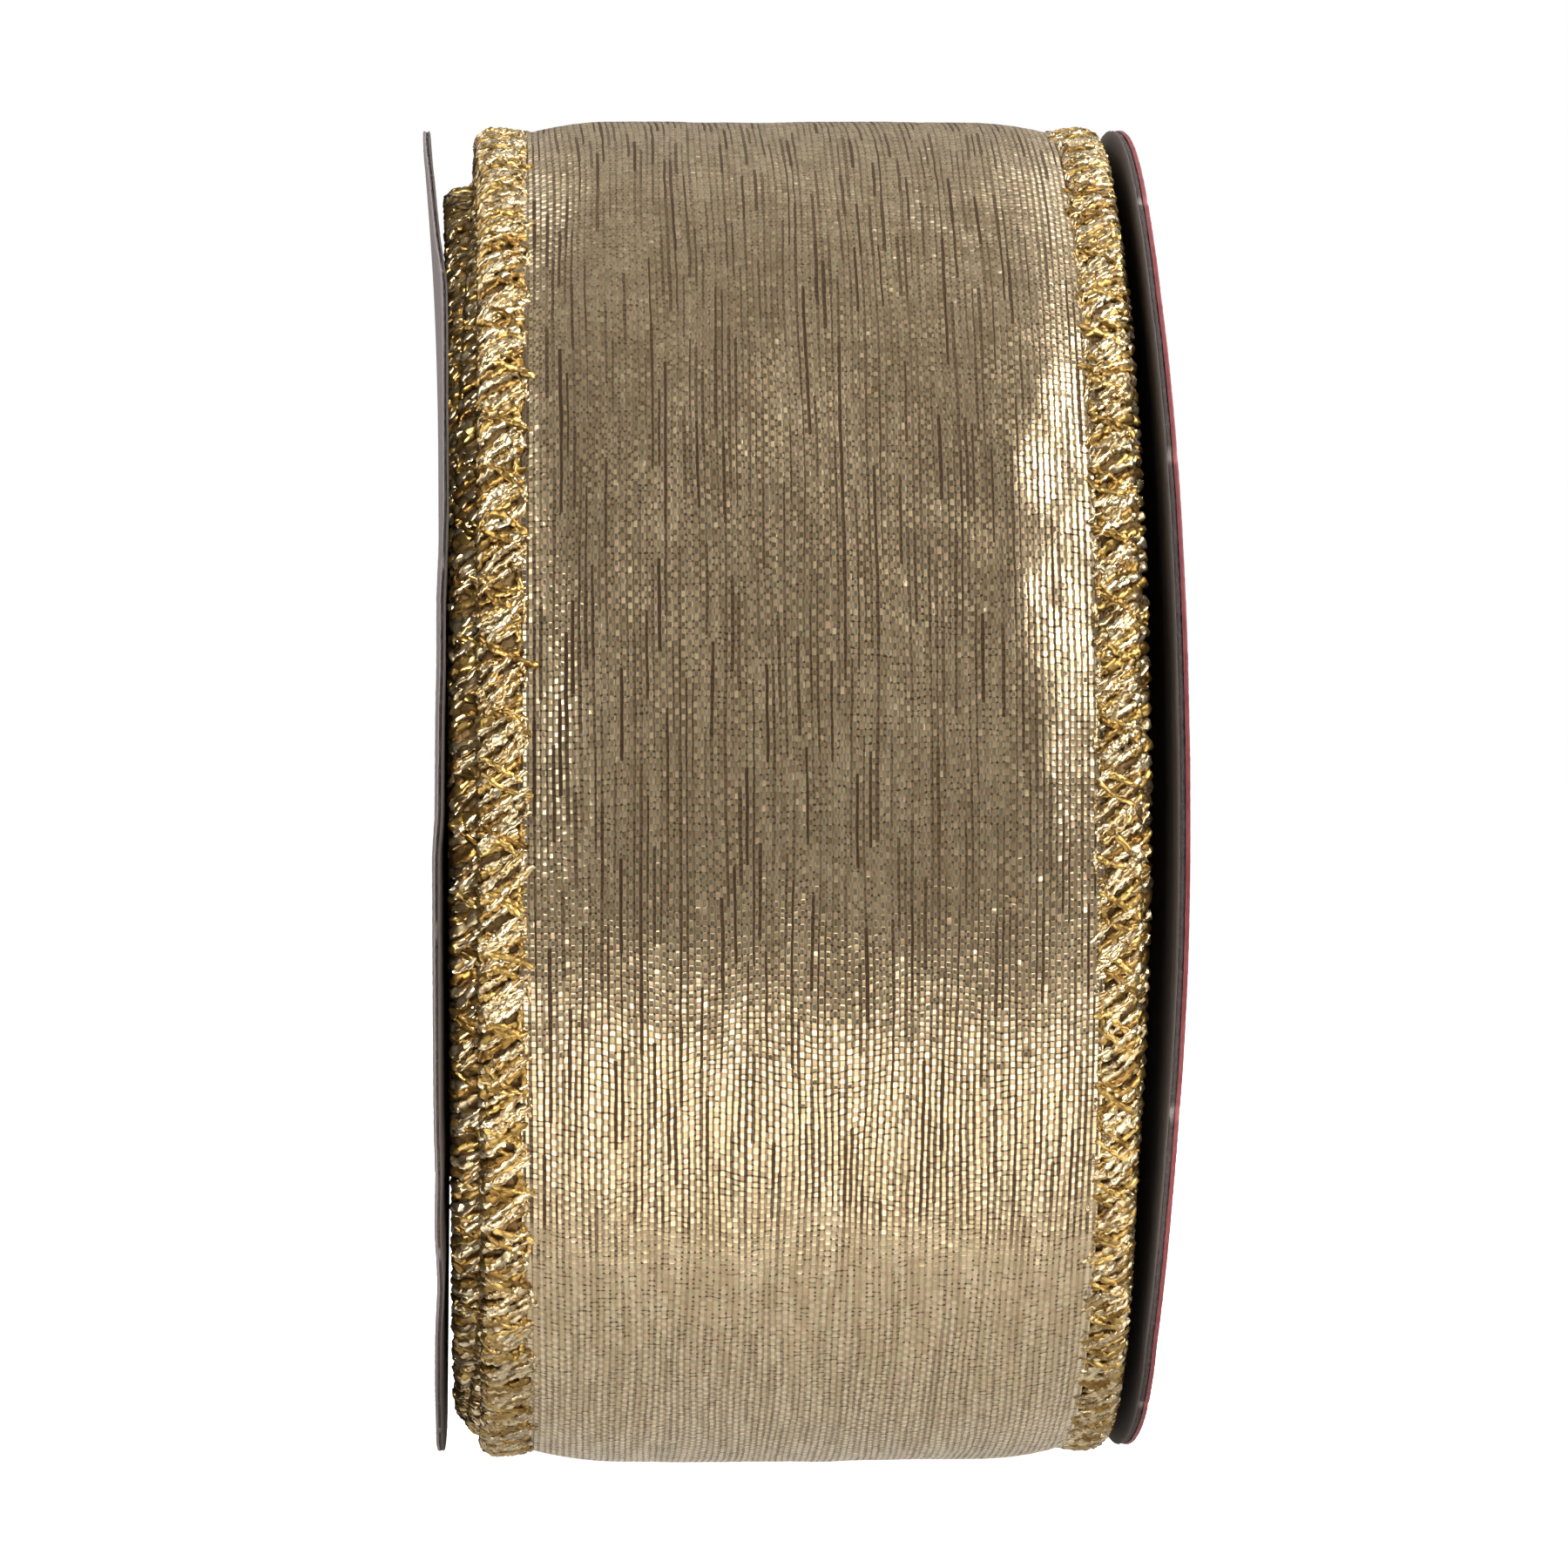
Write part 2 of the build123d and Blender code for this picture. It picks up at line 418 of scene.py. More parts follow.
# ----------------------------------------------------------------- materials
def web_material():
    """Flat metallised strips woven plain: weave.x counts crossings along the ribbon,
    weave.y counts strips across it, weave.z is the distance from its centre line."""
    net = material_net("metallic_web")
    mul, mul_add = net.mul, net.mul_add
    along, across, off_centre = net.attr("weave")
    u, v = net.add(along, 0.5), net.add(across, 0.5)
    cell_u, cell_v = net.floor(u), net.floor(v)
    # place within a cell, -1..1
    in_u = mul_add(net.math("FRACT", u), 2.0, -1.0)
    in_v = mul_add(net.math("FRACT", v), 2.0, -1.0)
    gap_u, gap_v = net.floor(along), net.floor(across)
    selvage = net.fit(off_centre, (15.9, 16.1))
    checker = net.math("FLOORED_MODULO", net.add(cell_u, cell_v), 2.0)
    warp_up = net.math("MAXIMUM", net.math("LESS_THAN", checker, 0.5), net.above(selvage, 0.5))
    cell = net.randoms(cell_u, cell_v, 0.0)
    cell_more = net.randoms(cell_u, cell_v, 7.0)

    def run_number(cells, strip, salt):
        """Number of a run this many cells long, staggered from strip to strip."""
        shift = mul(net.random(strip, salt, 2.0), 9.0)
        return net.floor(net.add(net.math("DIVIDE", u, cells), shift))

    gap_run = net.randoms(gap_v, run_number(15.0, gap_v, 2.0), 3.0)
    warp_random = net.random(cell_v, run_number(11.0, cell_v, 4.0), 21.0)
    weft_random = net.random(net.floor(net.math("DIVIDE", cell_v, 7.0)), cell_u, 33.0)

    # lean of each crossing: most lie close to flat, some stand well off it,
    # and neighbours on a diagonal lean alike
    diagonal = net.xyz(mul(net.sub(cell_u, cell_v), 0.42),
                       mul(net.add(cell_u, cell_v), 0.10), 4.0)
    alike = net.parts(net.noise(diagonal, scale=1.0, detail=2.0, rough=0.6, output="Color"))
    stray = net.above(cell_more[0], 0.84)
    spread = mul_add(stray, 0.30, 0.09)
    lean_u = mul(net.centred(cell[0]), spread)
    lean_v = mul(net.centred(cell[1]), mul(spread, 0.45))
    lean_u = net.add(lean_u, mul(net.centred(alike[0]), 0.19))
    lean_v = net.add(lean_v, mul(net.centred(alike[1]), 0.16))

    def pillow(at, rim, middle):
        """Slope of a float, flat in the middle and turned down at its rim."""
        return mul(at, mul_add(mul(at, at), rim, middle))

    lean_u = net.add(lean_u, pillow(in_u, rim=0.20, middle=0.03))
    lean_v = net.add(lean_v, pillow(in_v, rim=0.22, middle=0.02))
    normal = net.normal()
    # low down, light thrown back by the table fills the gaps: painted light that weakens the
    # painted gap shade and moves the weft's colour towards the warp's
    shade = net.fit(net.parts(normal)[2], (-0.68, -0.56), (0.52, 1.0), smooth=True)
    axis_v = net.xyz(1.0, 0.0, 0.0)
    axis_u = net.vector("NORMALIZE", net.vector("CROSS_PRODUCT", normal, axis_v))
    normal = net.lean(normal, axis_u, lean_u, axis_v, lean_v)

    # painted shade: dark gaps between neighbouring strips, dark rungs where the weft crosses, and
    # pinholes where four meet
    from_u, from_v = net.absolute(in_u), net.absolute(in_v)
    gap_start = mul_add(gap_run[0], 0.32, 0.24)
    gap = net.math("DIVIDE", net.sub(from_v, gap_start), 0.24, clamp=True)
    gap = mul(gap, mul(shade, mul_add(gap_run[1], 0.42, 0.58)))
    rung_on = net.above(net.random(cell_v, gap_u, 5.0), 0.87)
    rung = mul(net.fit(from_u, (0.50, 0.90), smooth=True), mul_add(rung_on, 0.55, 0.07))
    gap = net.add(gap, rung, clamp=True)
    hole_on = net.above(net.random(gap_v, gap_u, 6.0), 0.66)
    corner = net.fit(net.math("MINIMUM", from_u, from_v), (0.50, 0.85), smooth=True)
    hole = mul(corner, mul(hole_on, net.sub(1.0, selvage)))

    warp = net.mix(warp_random, (0.62, 0.485, 0.315), (0.88, 0.730, 0.530))
    weft = net.mix(weft_random, (0.43, 0.318, 0.193), (0.64, 0.495, 0.320))
    # painted light: low down the weft is moved part way towards the warp's brighter colour
    weft = net.mix(mul(net.sub(1.0, shade), 0.9), weft, warp)
    colour = net.mix(warp_up, weft, warp)
    tint = net.mix(cell[2], (1.0, 0.95, 0.90), (0.96, 1.0, 0.90))
    colour = net.mix(1.0, colour, tint, "MULTIPLY")
    cloud = net.noise(net.xyz(mul(along, 0.022), mul(across, 0.034), 1.0), scale=1.0, detail=3.0)
    cloud = net.mix(cloud, (0.88, 0.87, 0.86), (1.06, 1.06, 1.06))
    colour = net.mix(1.0, colour, cloud, "MULTIPLY")
    # painted shade: the gaps, rungs and pinholes are coloured near-black brown
    colour = net.mix(gap, colour, (0.050, 0.024, 0.007))
    colour = net.mix(hole, colour, (0.035, 0.014, 0.004))
    rough = net.add(mul(cell_more[1], 0.10), mul_add(warp_up, -0.21, 0.35))
    rough = net.add(rough, mul(gap, 0.40))
    return net.surface(Base_Color=colour, Metallic=mul_add(gap, -0.55, 0.94), Roughness=rough,
                       Normal=normal, Specular_IOR_Level=0.4)


def strand_material():
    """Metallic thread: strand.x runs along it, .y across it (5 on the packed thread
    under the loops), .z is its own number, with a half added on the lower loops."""
    net = material_net("overlock_thread")
    mul, mul_add = net.mul, net.mul_add
    along, across, number = net.attr("strand")
    under = net.above(across, 3.0)
    low = net.above(net.math("FRACT", number), 0.25)
    shifted = net.add(along, mul(net.random(number, 0, 0), 5.0))
    segment = net.floor(net.math("DIVIDE", shifted, 0.46))
    segment_random = net.randoms(segment, number, 2.0)
    strand_random = net.random(number, 5.0, 9.0)
    normal = net.normal()
    axis_a = net.vector("NORMALIZE",
                        net.vector("CROSS_PRODUCT", normal, net.xyz(0.31, 0.62, 0.72)))
    axis_b = net.vector("CROSS_PRODUCT", normal, axis_a)
    position = net.position()
    # crumpled foil: small rounded facets, each leaning its own way
    shifted = net.vector("ADD", position, net.xyz(mul(number, 0.37), 0.0, 0.0))
    facets = net.new("ShaderNodeTexVoronoi",
                     {"Vector": shifted, "Scale": 1.7, "Randomness": 0.95},
                     voronoi_dimensions="3D", feature="F1").outputs
    facet = net.parts(facets["Color"])
    lean = mul_add(under, -0.6, 1.30)
    normal = net.lean(normal, axis_a, mul(net.centred(facet[0]), lean),
                      axis_b, mul(net.centred(facet[1]), lean))
    fine = net.noise(position, scale=3.2, detail=4.0, rough=0.6)
    normal = net.bump(fine, distance=0.030, strength=0.12, Normal=normal)

    colour = net.mix(mul_add(facet[2], 0.65, mul(strand_random, 0.35)),
                     (0.44, 0.265, 0.08), (0.98, 0.87, 0.60))
    # painted shade: filaments that lie lower, under the others, get a darker colour
    low_shade_colour = net.mix(strand_random, (0.25, 0.135, 0.03), (0.60, 0.41, 0.135))
    colour = net.mix(low, colour, low_shade_colour)
    # painted shade: each filament darkens towards its thin edges
    side = net.fit(net.absolute(across), (0.6, 1.0), (0.0, 0.45))
    colour = net.mix(side, colour, (0.11, 0.055, 0.012))
    # painted shade in the creases between the foil's facets
    crease_shade = net.fit(facets["Distance"], (0.50, 0.80), (0.0, 0.7))
    colour = net.mix(crease_shade, colour, (0.14, 0.065, 0.012))
    # painted shade: the packed thread under the loops is coloured near-black brown
    colour = net.mix(under, colour, net.mix(fine, (0.035, 0.015, 0.004), (0.20, 0.115, 0.03)))
    rough = net.add(mul_add(segment_random[2], 0.14, 0.20),
                    net.add(mul(under, 0.22), mul(low, 0.08)))
    return net.surface(Base_Color=colour, Metallic=mul_add(under, -0.35, 0.92), Roughness=rough,
                       Normal=normal)


def board_material():
    """Greyboard: pressed recycled fibre, mauve grey with darker and lighter flecks."""
    net = material_net("greyboard")
    position = net.position()
    fibre = net.noise(net.vector("MULTIPLY", position, (9.0, 2.2, 2.2)),
                      scale=1.6, detail=6.0, rough=0.62)
    fleck = net.noise(position, scale=3.4, detail=3.0, rough=0.7)
    colour = net.mix(fibre, (0.050, 0.037, 0.036), (0.145, 0.118, 0.112))
    colour = net.mix(net.fit(fleck, (0.60, 0.72), (0.0, 0.8)), colour, (0.20, 0.175, 0.165))
    colour = net.mix(net.fit(fleck, (0.40, 0.30), (0.0, 0.8)), colour, (0.05, 0.035, 0.04))
    nick = net.attr("rim")[0]
    torn = net.mul(nick, net.fit(fibre, (0.3, 0.6), (0.5, 1.0)))
    colour = net.mix(torn, colour, (0.40, 0.35, 0.33))
    return net.surface(Base_Color=colour, Roughness=0.92, Specular_IOR_Level=0.2,
                       Normal=net.bump(fibre, distance=0.12, strength=0.9))


def paper_material(name, base, deep, rough):
    """Uncoated liner paper, paler at its cut rim."""
    net = material_net(name)
    position = net.position()
    broad = net.noise(position, scale=0.12, detail=4.0, rough=0.6)
    fibre = net.noise(net.vector("MULTIPLY", position, (1.0, 2.6, 0.7)),
                      scale=2.4, detail=5.0, rough=0.6)
    speck = net.noise(position, scale=5.5)
    colour = net.mix(net.mul_add(broad, 0.45, net.mul(fibre, 0.55)), deep, base)
    colour = net.mix(net.fit(speck, (0.66, 0.74), (0.0, 0.5)), colour, dimmed(deep, 0.45))
    colour = net.mix(net.mul(net.attr("rim")[1], 0.75), colour, dimmed(base, 1.35))
    relief = net.add(fibre, net.mul(speck, 0.5))
    return net.surface(Base_Color=colour, Roughness=rough, Specular_IOR_Level=0.3,
                       Normal=net.bump(relief, distance=0.03, strength=0.6))


def print_material():
    """Dark red satin print: ink over paper, worn pale at the rim and hole."""
    net = material_net("printed_liner")
    position = net.position()
    _, y, z = net.parts(position)
    radius = net.math("SQRT", net.add(net.mul(y, y), net.mul(z, z)))
    broad = net.noise(position, scale=0.10, detail=4.0, rough=0.6)
    grain = net.noise(position, scale=6.0, detail=4.0, rough=0.6)
    red = net.mix(broad, (0.115, 0.005, 0.010), (0.165, 0.008, 0.014))

    def ring(inner, outer, fade=0.1):
        return net.mul(net.fit(radius, (inner, inner + fade)),
                       net.fit(radius, (outer - fade, outer), (1, 0)))

    gold = net.mix(grain, (0.50, 0.36, 0.14), (0.62, 0.47, 0.22))
    rings = net.add(ring(inner=36.6, outer=37.4), ring(inner=15.6, outer=16.1), clamp=True)
    rings = net.mul(rings, net.fit(grain, (0.28, 0.36), (0.5, 1.0)))
    colour = net.mix(rings, red, gold)
    wear = net.add(net.fit(radius, (39.75, 40.45)), net.fit(radius, (13.15, 12.75)), clamp=True)
    wear = net.mul(wear, net.fit(net.noise(position, scale=1.1, detail=4.0), (0.30, 0.62)))
    nick, cut, _ = net.attr("rim")
    wear = net.add(net.mul(wear, 0.30), net.add(net.mul(cut, 0.45), nick), clamp=True)
    colour = net.mix(net.mul(wear, 0.75), colour, (0.40, 0.13, 0.13))
    scuff = net.noise(net.vector("MULTIPLY", position, (1, 0.6, 2.0)),
                      scale=0.9, detail=8.0, rough=0.7)
    colour = net.mix(net.fit(scuff, (0.62, 0.72), (0.0, 0.18)), colour, (0.55, 0.30, 0.28))
    rough = net.add(net.mul(grain, 0.14), net.mul_add(wear, 0.3, 0.34))
    return net.surface(Base_Color=colour, Roughness=rough, Specular_IOR_Level=0.25,
                       Coat_Weight=0.08, Coat_Roughness=0.35,
                       Normal=net.bump(grain, distance=0.02, strength=0.4))


def core_material(name, base, deep):
    """Spiral-wound kraft tube: diagonal ply edges and long fibres."""
    net = material_net(name)
    position = net.position()
    x, y, z = net.parts(position)
    angle = net.math("ARCTAN2", z, y)
    # one ply turn every 34 mm along the tube
    turn = net.add(net.mul(x, 1 / 34.0), net.mul(angle, 1 / (2 * math.pi)))
    seam = net.absolute(net.centred(net.math("FRACT", turn)))
    seam = net.fit(seam, (0.0, 0.012), (1.0, 0.0))
    fibre = net.noise(net.xyz(net.mul(x, 0.5), net.mul(angle, 14.0), net.mul(turn, 5.0)),
                      scale=2.2, detail=6.0, rough=0.65)
    fleck = net.noise(position, scale=2.6, detail=5.0, rough=0.7)
    colour = net.mix(fibre, deep, base)
    colour = net.mix(net.fit(fleck, (0.62, 0.75), (0.0, 0.6)), colour, dimmed(deep, 0.4))
    colour = net.mix(net.mul(seam, 0.7), colour, dimmed(deep, 0.35))
    relief = net.sub(fibre, net.mul(seam, 1.5))
    return net.surface(Base_Color=colour, Roughness=0.86, Specular_IOR_Level=0.25,
                       Normal=net.bump(relief, distance=0.08, strength=0.8))


def glue_material():
    net = material_net("hot_melt")
    position = net.position()
    cloud = net.noise(position, scale=0.5, detail=3.0)
    colour = net.mix(cloud, (0.50, 0.36, 0.15), (0.78, 0.66, 0.40))
    relief = net.noise(position, scale=1.1, detail=3.0)
    return net.surface(Base_Color=colour, Roughness=net.mul_add(cloud, 0.15, 0.22),
                       Subsurface_Weight=0.35, Subsurface_Scale=0.0015,
                       Normal=net.bump(relief, distance=0.10, strength=0.5))


def wire_material():
    """Steel with drawing marks along its length."""
    net = material_net("edge_wire")
    along, around, wire = net.attr("strand")
    marks = net.noise(net.xyz(net.mul(along, 0.15), net.mul(around, 8.0), wire),
                      scale=3.0, detail=3.0)
    colour = net.mix(marks, (0.36, 0.35, 0.33), (0.62, 0.60, 0.57))
    return net.surface(Base_Color=colour, Metallic=1.0, Roughness=net.mul_add(marks, 0.2, 0.25),
                       Normal=net.bump(marks, distance=0.01, strength=0.5))


def tape_material():
    """Clear film with milky patches."""
    net = material_net("clear_tape")
    position = net.position()
    cloud = net.noise(position, scale=0.35, detail=4.0, rough=0.6)
    bubbles = net.noise(position, scale=1.6, detail=3.0)
    milk = net.fit(bubbles, (0.56, 0.70), (0.06, 0.32))
    clear = net.node("ShaderNodeBsdfTransparent", {"Color": (0.97, 0.96, 0.93)})
    relief = net.add(cloud, net.mul(bubbles, 0.3))
    film = net.node("ShaderNodeBsdfPrincipled", {
        "Base Color": (0.50, 0.47, 0.39), "Specular IOR Level": 0.3,
        "Roughness": net.mul_add(cloud, 0.12, 0.20),
        "Normal": net.bump(relief, distance=0.06, strength=0.5)})
    gloss = net.node("ShaderNodeFresnel", {"IOR": 1.22})
    factor = net.add(milk, gloss, clamp=True)
    return net.finish(net.node("ShaderNodeMixShader", {0: factor, 1: clear, 2: film}))


WEB = web_material()
STRAND = strand_material()
BOARD = board_material()
PLAIN = paper_material("plain_liner", base=(0.20, 0.172, 0.168), deep=(0.125, 0.105, 0.104),
                       rough=0.72)
INNER = paper_material("inner_liner", base=(0.100, 0.083, 0.075), deep=(0.060, 0.048, 0.042),
                       rough=0.85)
PRINT = print_material()
CORE_OUTER = core_material("core_outer", base=(0.42, 0.31, 0.20), deep=(0.27, 0.19, 0.11))
CORE_INNER = core_material("core_inner", base=(0.46, 0.36, 0.25), deep=(0.31, 0.225, 0.14))
GLUE = glue_material()
WIRE = wire_material()
TAPE = tape_material()

# --------------------------------------------------------------- ribbon: web
# Leaning patches of the outermost turn near its right edge:
# polar angle, x, slope, reach along, reach across
SWELLS = [(154.0, 12.7, 0.155, 2.3, 2.3), (166.2, 13.2, 0.135, 3.1, 2.9),
          (164.5, 13.9, -0.16, 1.0, 1.1), (146.0, 14.4, 0.10, 2.4, 1.6),
          (178.0, 14.2, 0.09, 2.8, 1.7), (134.0, 14.3, 0.10, 2.6, 1.5),
          (122.0, 14.5, 0.09, 3.0, 1.4)]


def web_height(angle, u, x):
    """Top surface of the web above the ribbon's middle plane."""
    height = 1.13 - 0.80 * np.clip((np.abs(x) - 10.8) / 5.4, 0, 1)**2.3
    polar = np.radians(angle + END_ANGLE)
    # lower down: fuller to the right, and drawn in as a whole
    height = height + 0.10 * np.clip(-np.sin(polar), 0, 1) * (x / 16.0)
    height = height - 0.28 * np.clip(-np.sin(polar) * 1.3 - 0.3, 0, 1)
    soft = np.clip((16.3 - np.abs(x)) / 6.0, 0, 1)
    height = height + 0.055 * waves(u, x, 5, 26.0) * soft + 0.020 * waves(u, x, 6, 7.0) * soft
    for swell_polar, swell_x, slope, reach_u, reach_x in SWELLS:
        swell_u = float(length_at(LAST_TURN + (swell_polar - END_ANGLE) % 360))
        off = ((u - swell_u) / reach_u) ** 2 + ((x - swell_x) / reach_x) ** 2
        height = height - slope * (x - swell_x) * np.exp(-off ** 2)
    # small puckers pulled in by each overlock stitch
    near = np.exp(-((16.2 - np.abs(x)) / 1.5) ** 2)
    side = np.where(x > 0, 1, -1)
    phase = 2 * math.pi * (u / STITCH + 0.13 * side) + 1.3 * np.sin(u * 0.21 + side)
    return height + 0.055 * near * np.sin(phase)


def web_piece(name, start, end, fine):
    """A closed thin sheet of web; if fine, with one vertex per crossing."""
    if fine:
        rows = np.arange(int(round(length_at(start) / CELL_LENGTH)),
                         int(round(length_at(end) / CELL_LENGTH)) + 1)
        cols = np.arange(STRIPS + 1)
        relief = np.ones(len(rows))
        relief[:2] = relief[-2:] = 0.0
    else:
        steps = int((end - start) / 5.0)
        rows = np.linspace(length_at(start), length_at(end), steps + 1) / CELL_LENGTH
        border = np.array([0, 2, 5, 9, 14])
        cols = np.concatenate([border, np.linspace(20, STRIPS - 20, 5), STRIPS - border[::-1]])
    row, col = np.meshgrid(rows, cols, indexing="ij")
    flat_x = (col / STRIPS * 2 - 1) * WEB_HALF_WIDTH
    x, u = flat_x, row * CELL_LENGTH
    if fine:
        # yarns wander, and the weft bows a little
        keep = np.clip((16.2 - np.abs(x)) / 2.0, 0, 1)
        x = x + keep * (0.05 * waves(u * 0.22, x, 31, 7.0) + 0.012 * waves(u * 0.5, x, 32, 2.0))
        calm = 1 if end < END else np.clip((length_at(END) - u) / 4, 0, 1)
        u = u + keep * (0.14 * waves(u * 0.4, x, 33, 9.0) + 0.05 * waves(u, x, 34, 2.6)) * calm
    angle = angle_at(u)
    top = web_height(angle, u, x)
    bottom = top - 0.17
    if fine:
        weave = 0.016 * np.where((col + row) % 2 == 0, 1, -1)
        top = top + (weave + 0.022 * (pair_hash(col, row) - 0.5)) * relief[:, None]
    x = x + drift(angle)
    verts = np.concatenate([place(angle, h, x).reshape(-1, 3) for h in (top, bottom)])
    parts = sheet_quads(*u.shape)
    smooth = np.concatenate([np.full(len(quads), k < 2) for k, quads in enumerate(parts)])
    rim = np.zeros(u.shape, bool)
    rim[0] = rim[-1] = rim[:, 0] = rim[:, -1] = True
    none = np.zeros(u.size, bool)
    rims = (np.concatenate([rim.ravel(), none]), np.concatenate([none, rim.ravel()]))
    weave = np.stack([row, col, np.abs(flat_x)], -1).reshape(-1, 3).astype(float)
    under = weave + [0.0, 200.0, 0.0]    # the underside gets strip numbers of its own
    return mesh_object(name, verts, np.concatenate(parts), WEB, "weave",
                       np.concatenate([weave, under]), smooth, rims)


# -------------------------------------------------------- ribbon: overlocking
# distance in from the very edge, height above the middle plane
TOP_IN = [0.0, 0.12, 0.4, 0.8, 1.2, 1.8, 2.3, 2.75, 3.0, 3.3, 3.7]
TOP_LIFT = [0.0, 0.22, 0.42, 0.51, 0.54, 0.50, 0.42, 0.34, 0.39, 0.48, 0.58]
LOW_IN = [0.0, 0.12, 0.4, 0.8, 1.2, 1.8, 2.3, 2.75, 3.0]
LOW_LIFT = [0.0, -0.24, -0.42, -0.49, -0.50, -0.44, -0.32, -0.14, -0.05]


def top_lift(inward):
    return np.interp(inward, TOP_IN, TOP_LIFT)


def outline(t):
    """Round the edge: t runs -1 (underside, inner) .. 0 (very edge) .. 1 (top, inner)."""
    t = np.asarray(t, float)
    inward = 2.75 * np.abs(t) ** 1.35
    return inward, np.where(t >= 0, top_lift(inward), np.interp(inward, LOW_IN, LOW_LIFT))


def edge_xyz(side, u, inward, lift):
    """A point by its length along the ribbon and its place on the edge's section."""
    angle = angle_at(u)
    turn = np.radians(angle)
    # the outermost turns are drawn in at the front and pressed down below
    outermost = np.clip((angle - 3560) / 120, 0, 1) * np.clip((4330 - angle) / 60, 0, 1)
    draw_in = (0.28 if side < 0 else 0.48) * outermost * np.clip(-np.cos(turn), 0, 1)
    inward = inward + draw_in * np.clip(1 - inward / 3.0, 0, 1)
    lift = lift - outermost * (0.10 + 0.40 * np.clip(-np.sin(turn), 0, 1) ** 1.5)
    return place(angle, lift, side * (HALF_WIDTH - inward) + drift(angle))


def soften(values):
    values[:, 1:-1] = 0.25 * values[:, :-2] + 0.5 * values[:, 1:-1] + 0.25 * values[:, 2:]


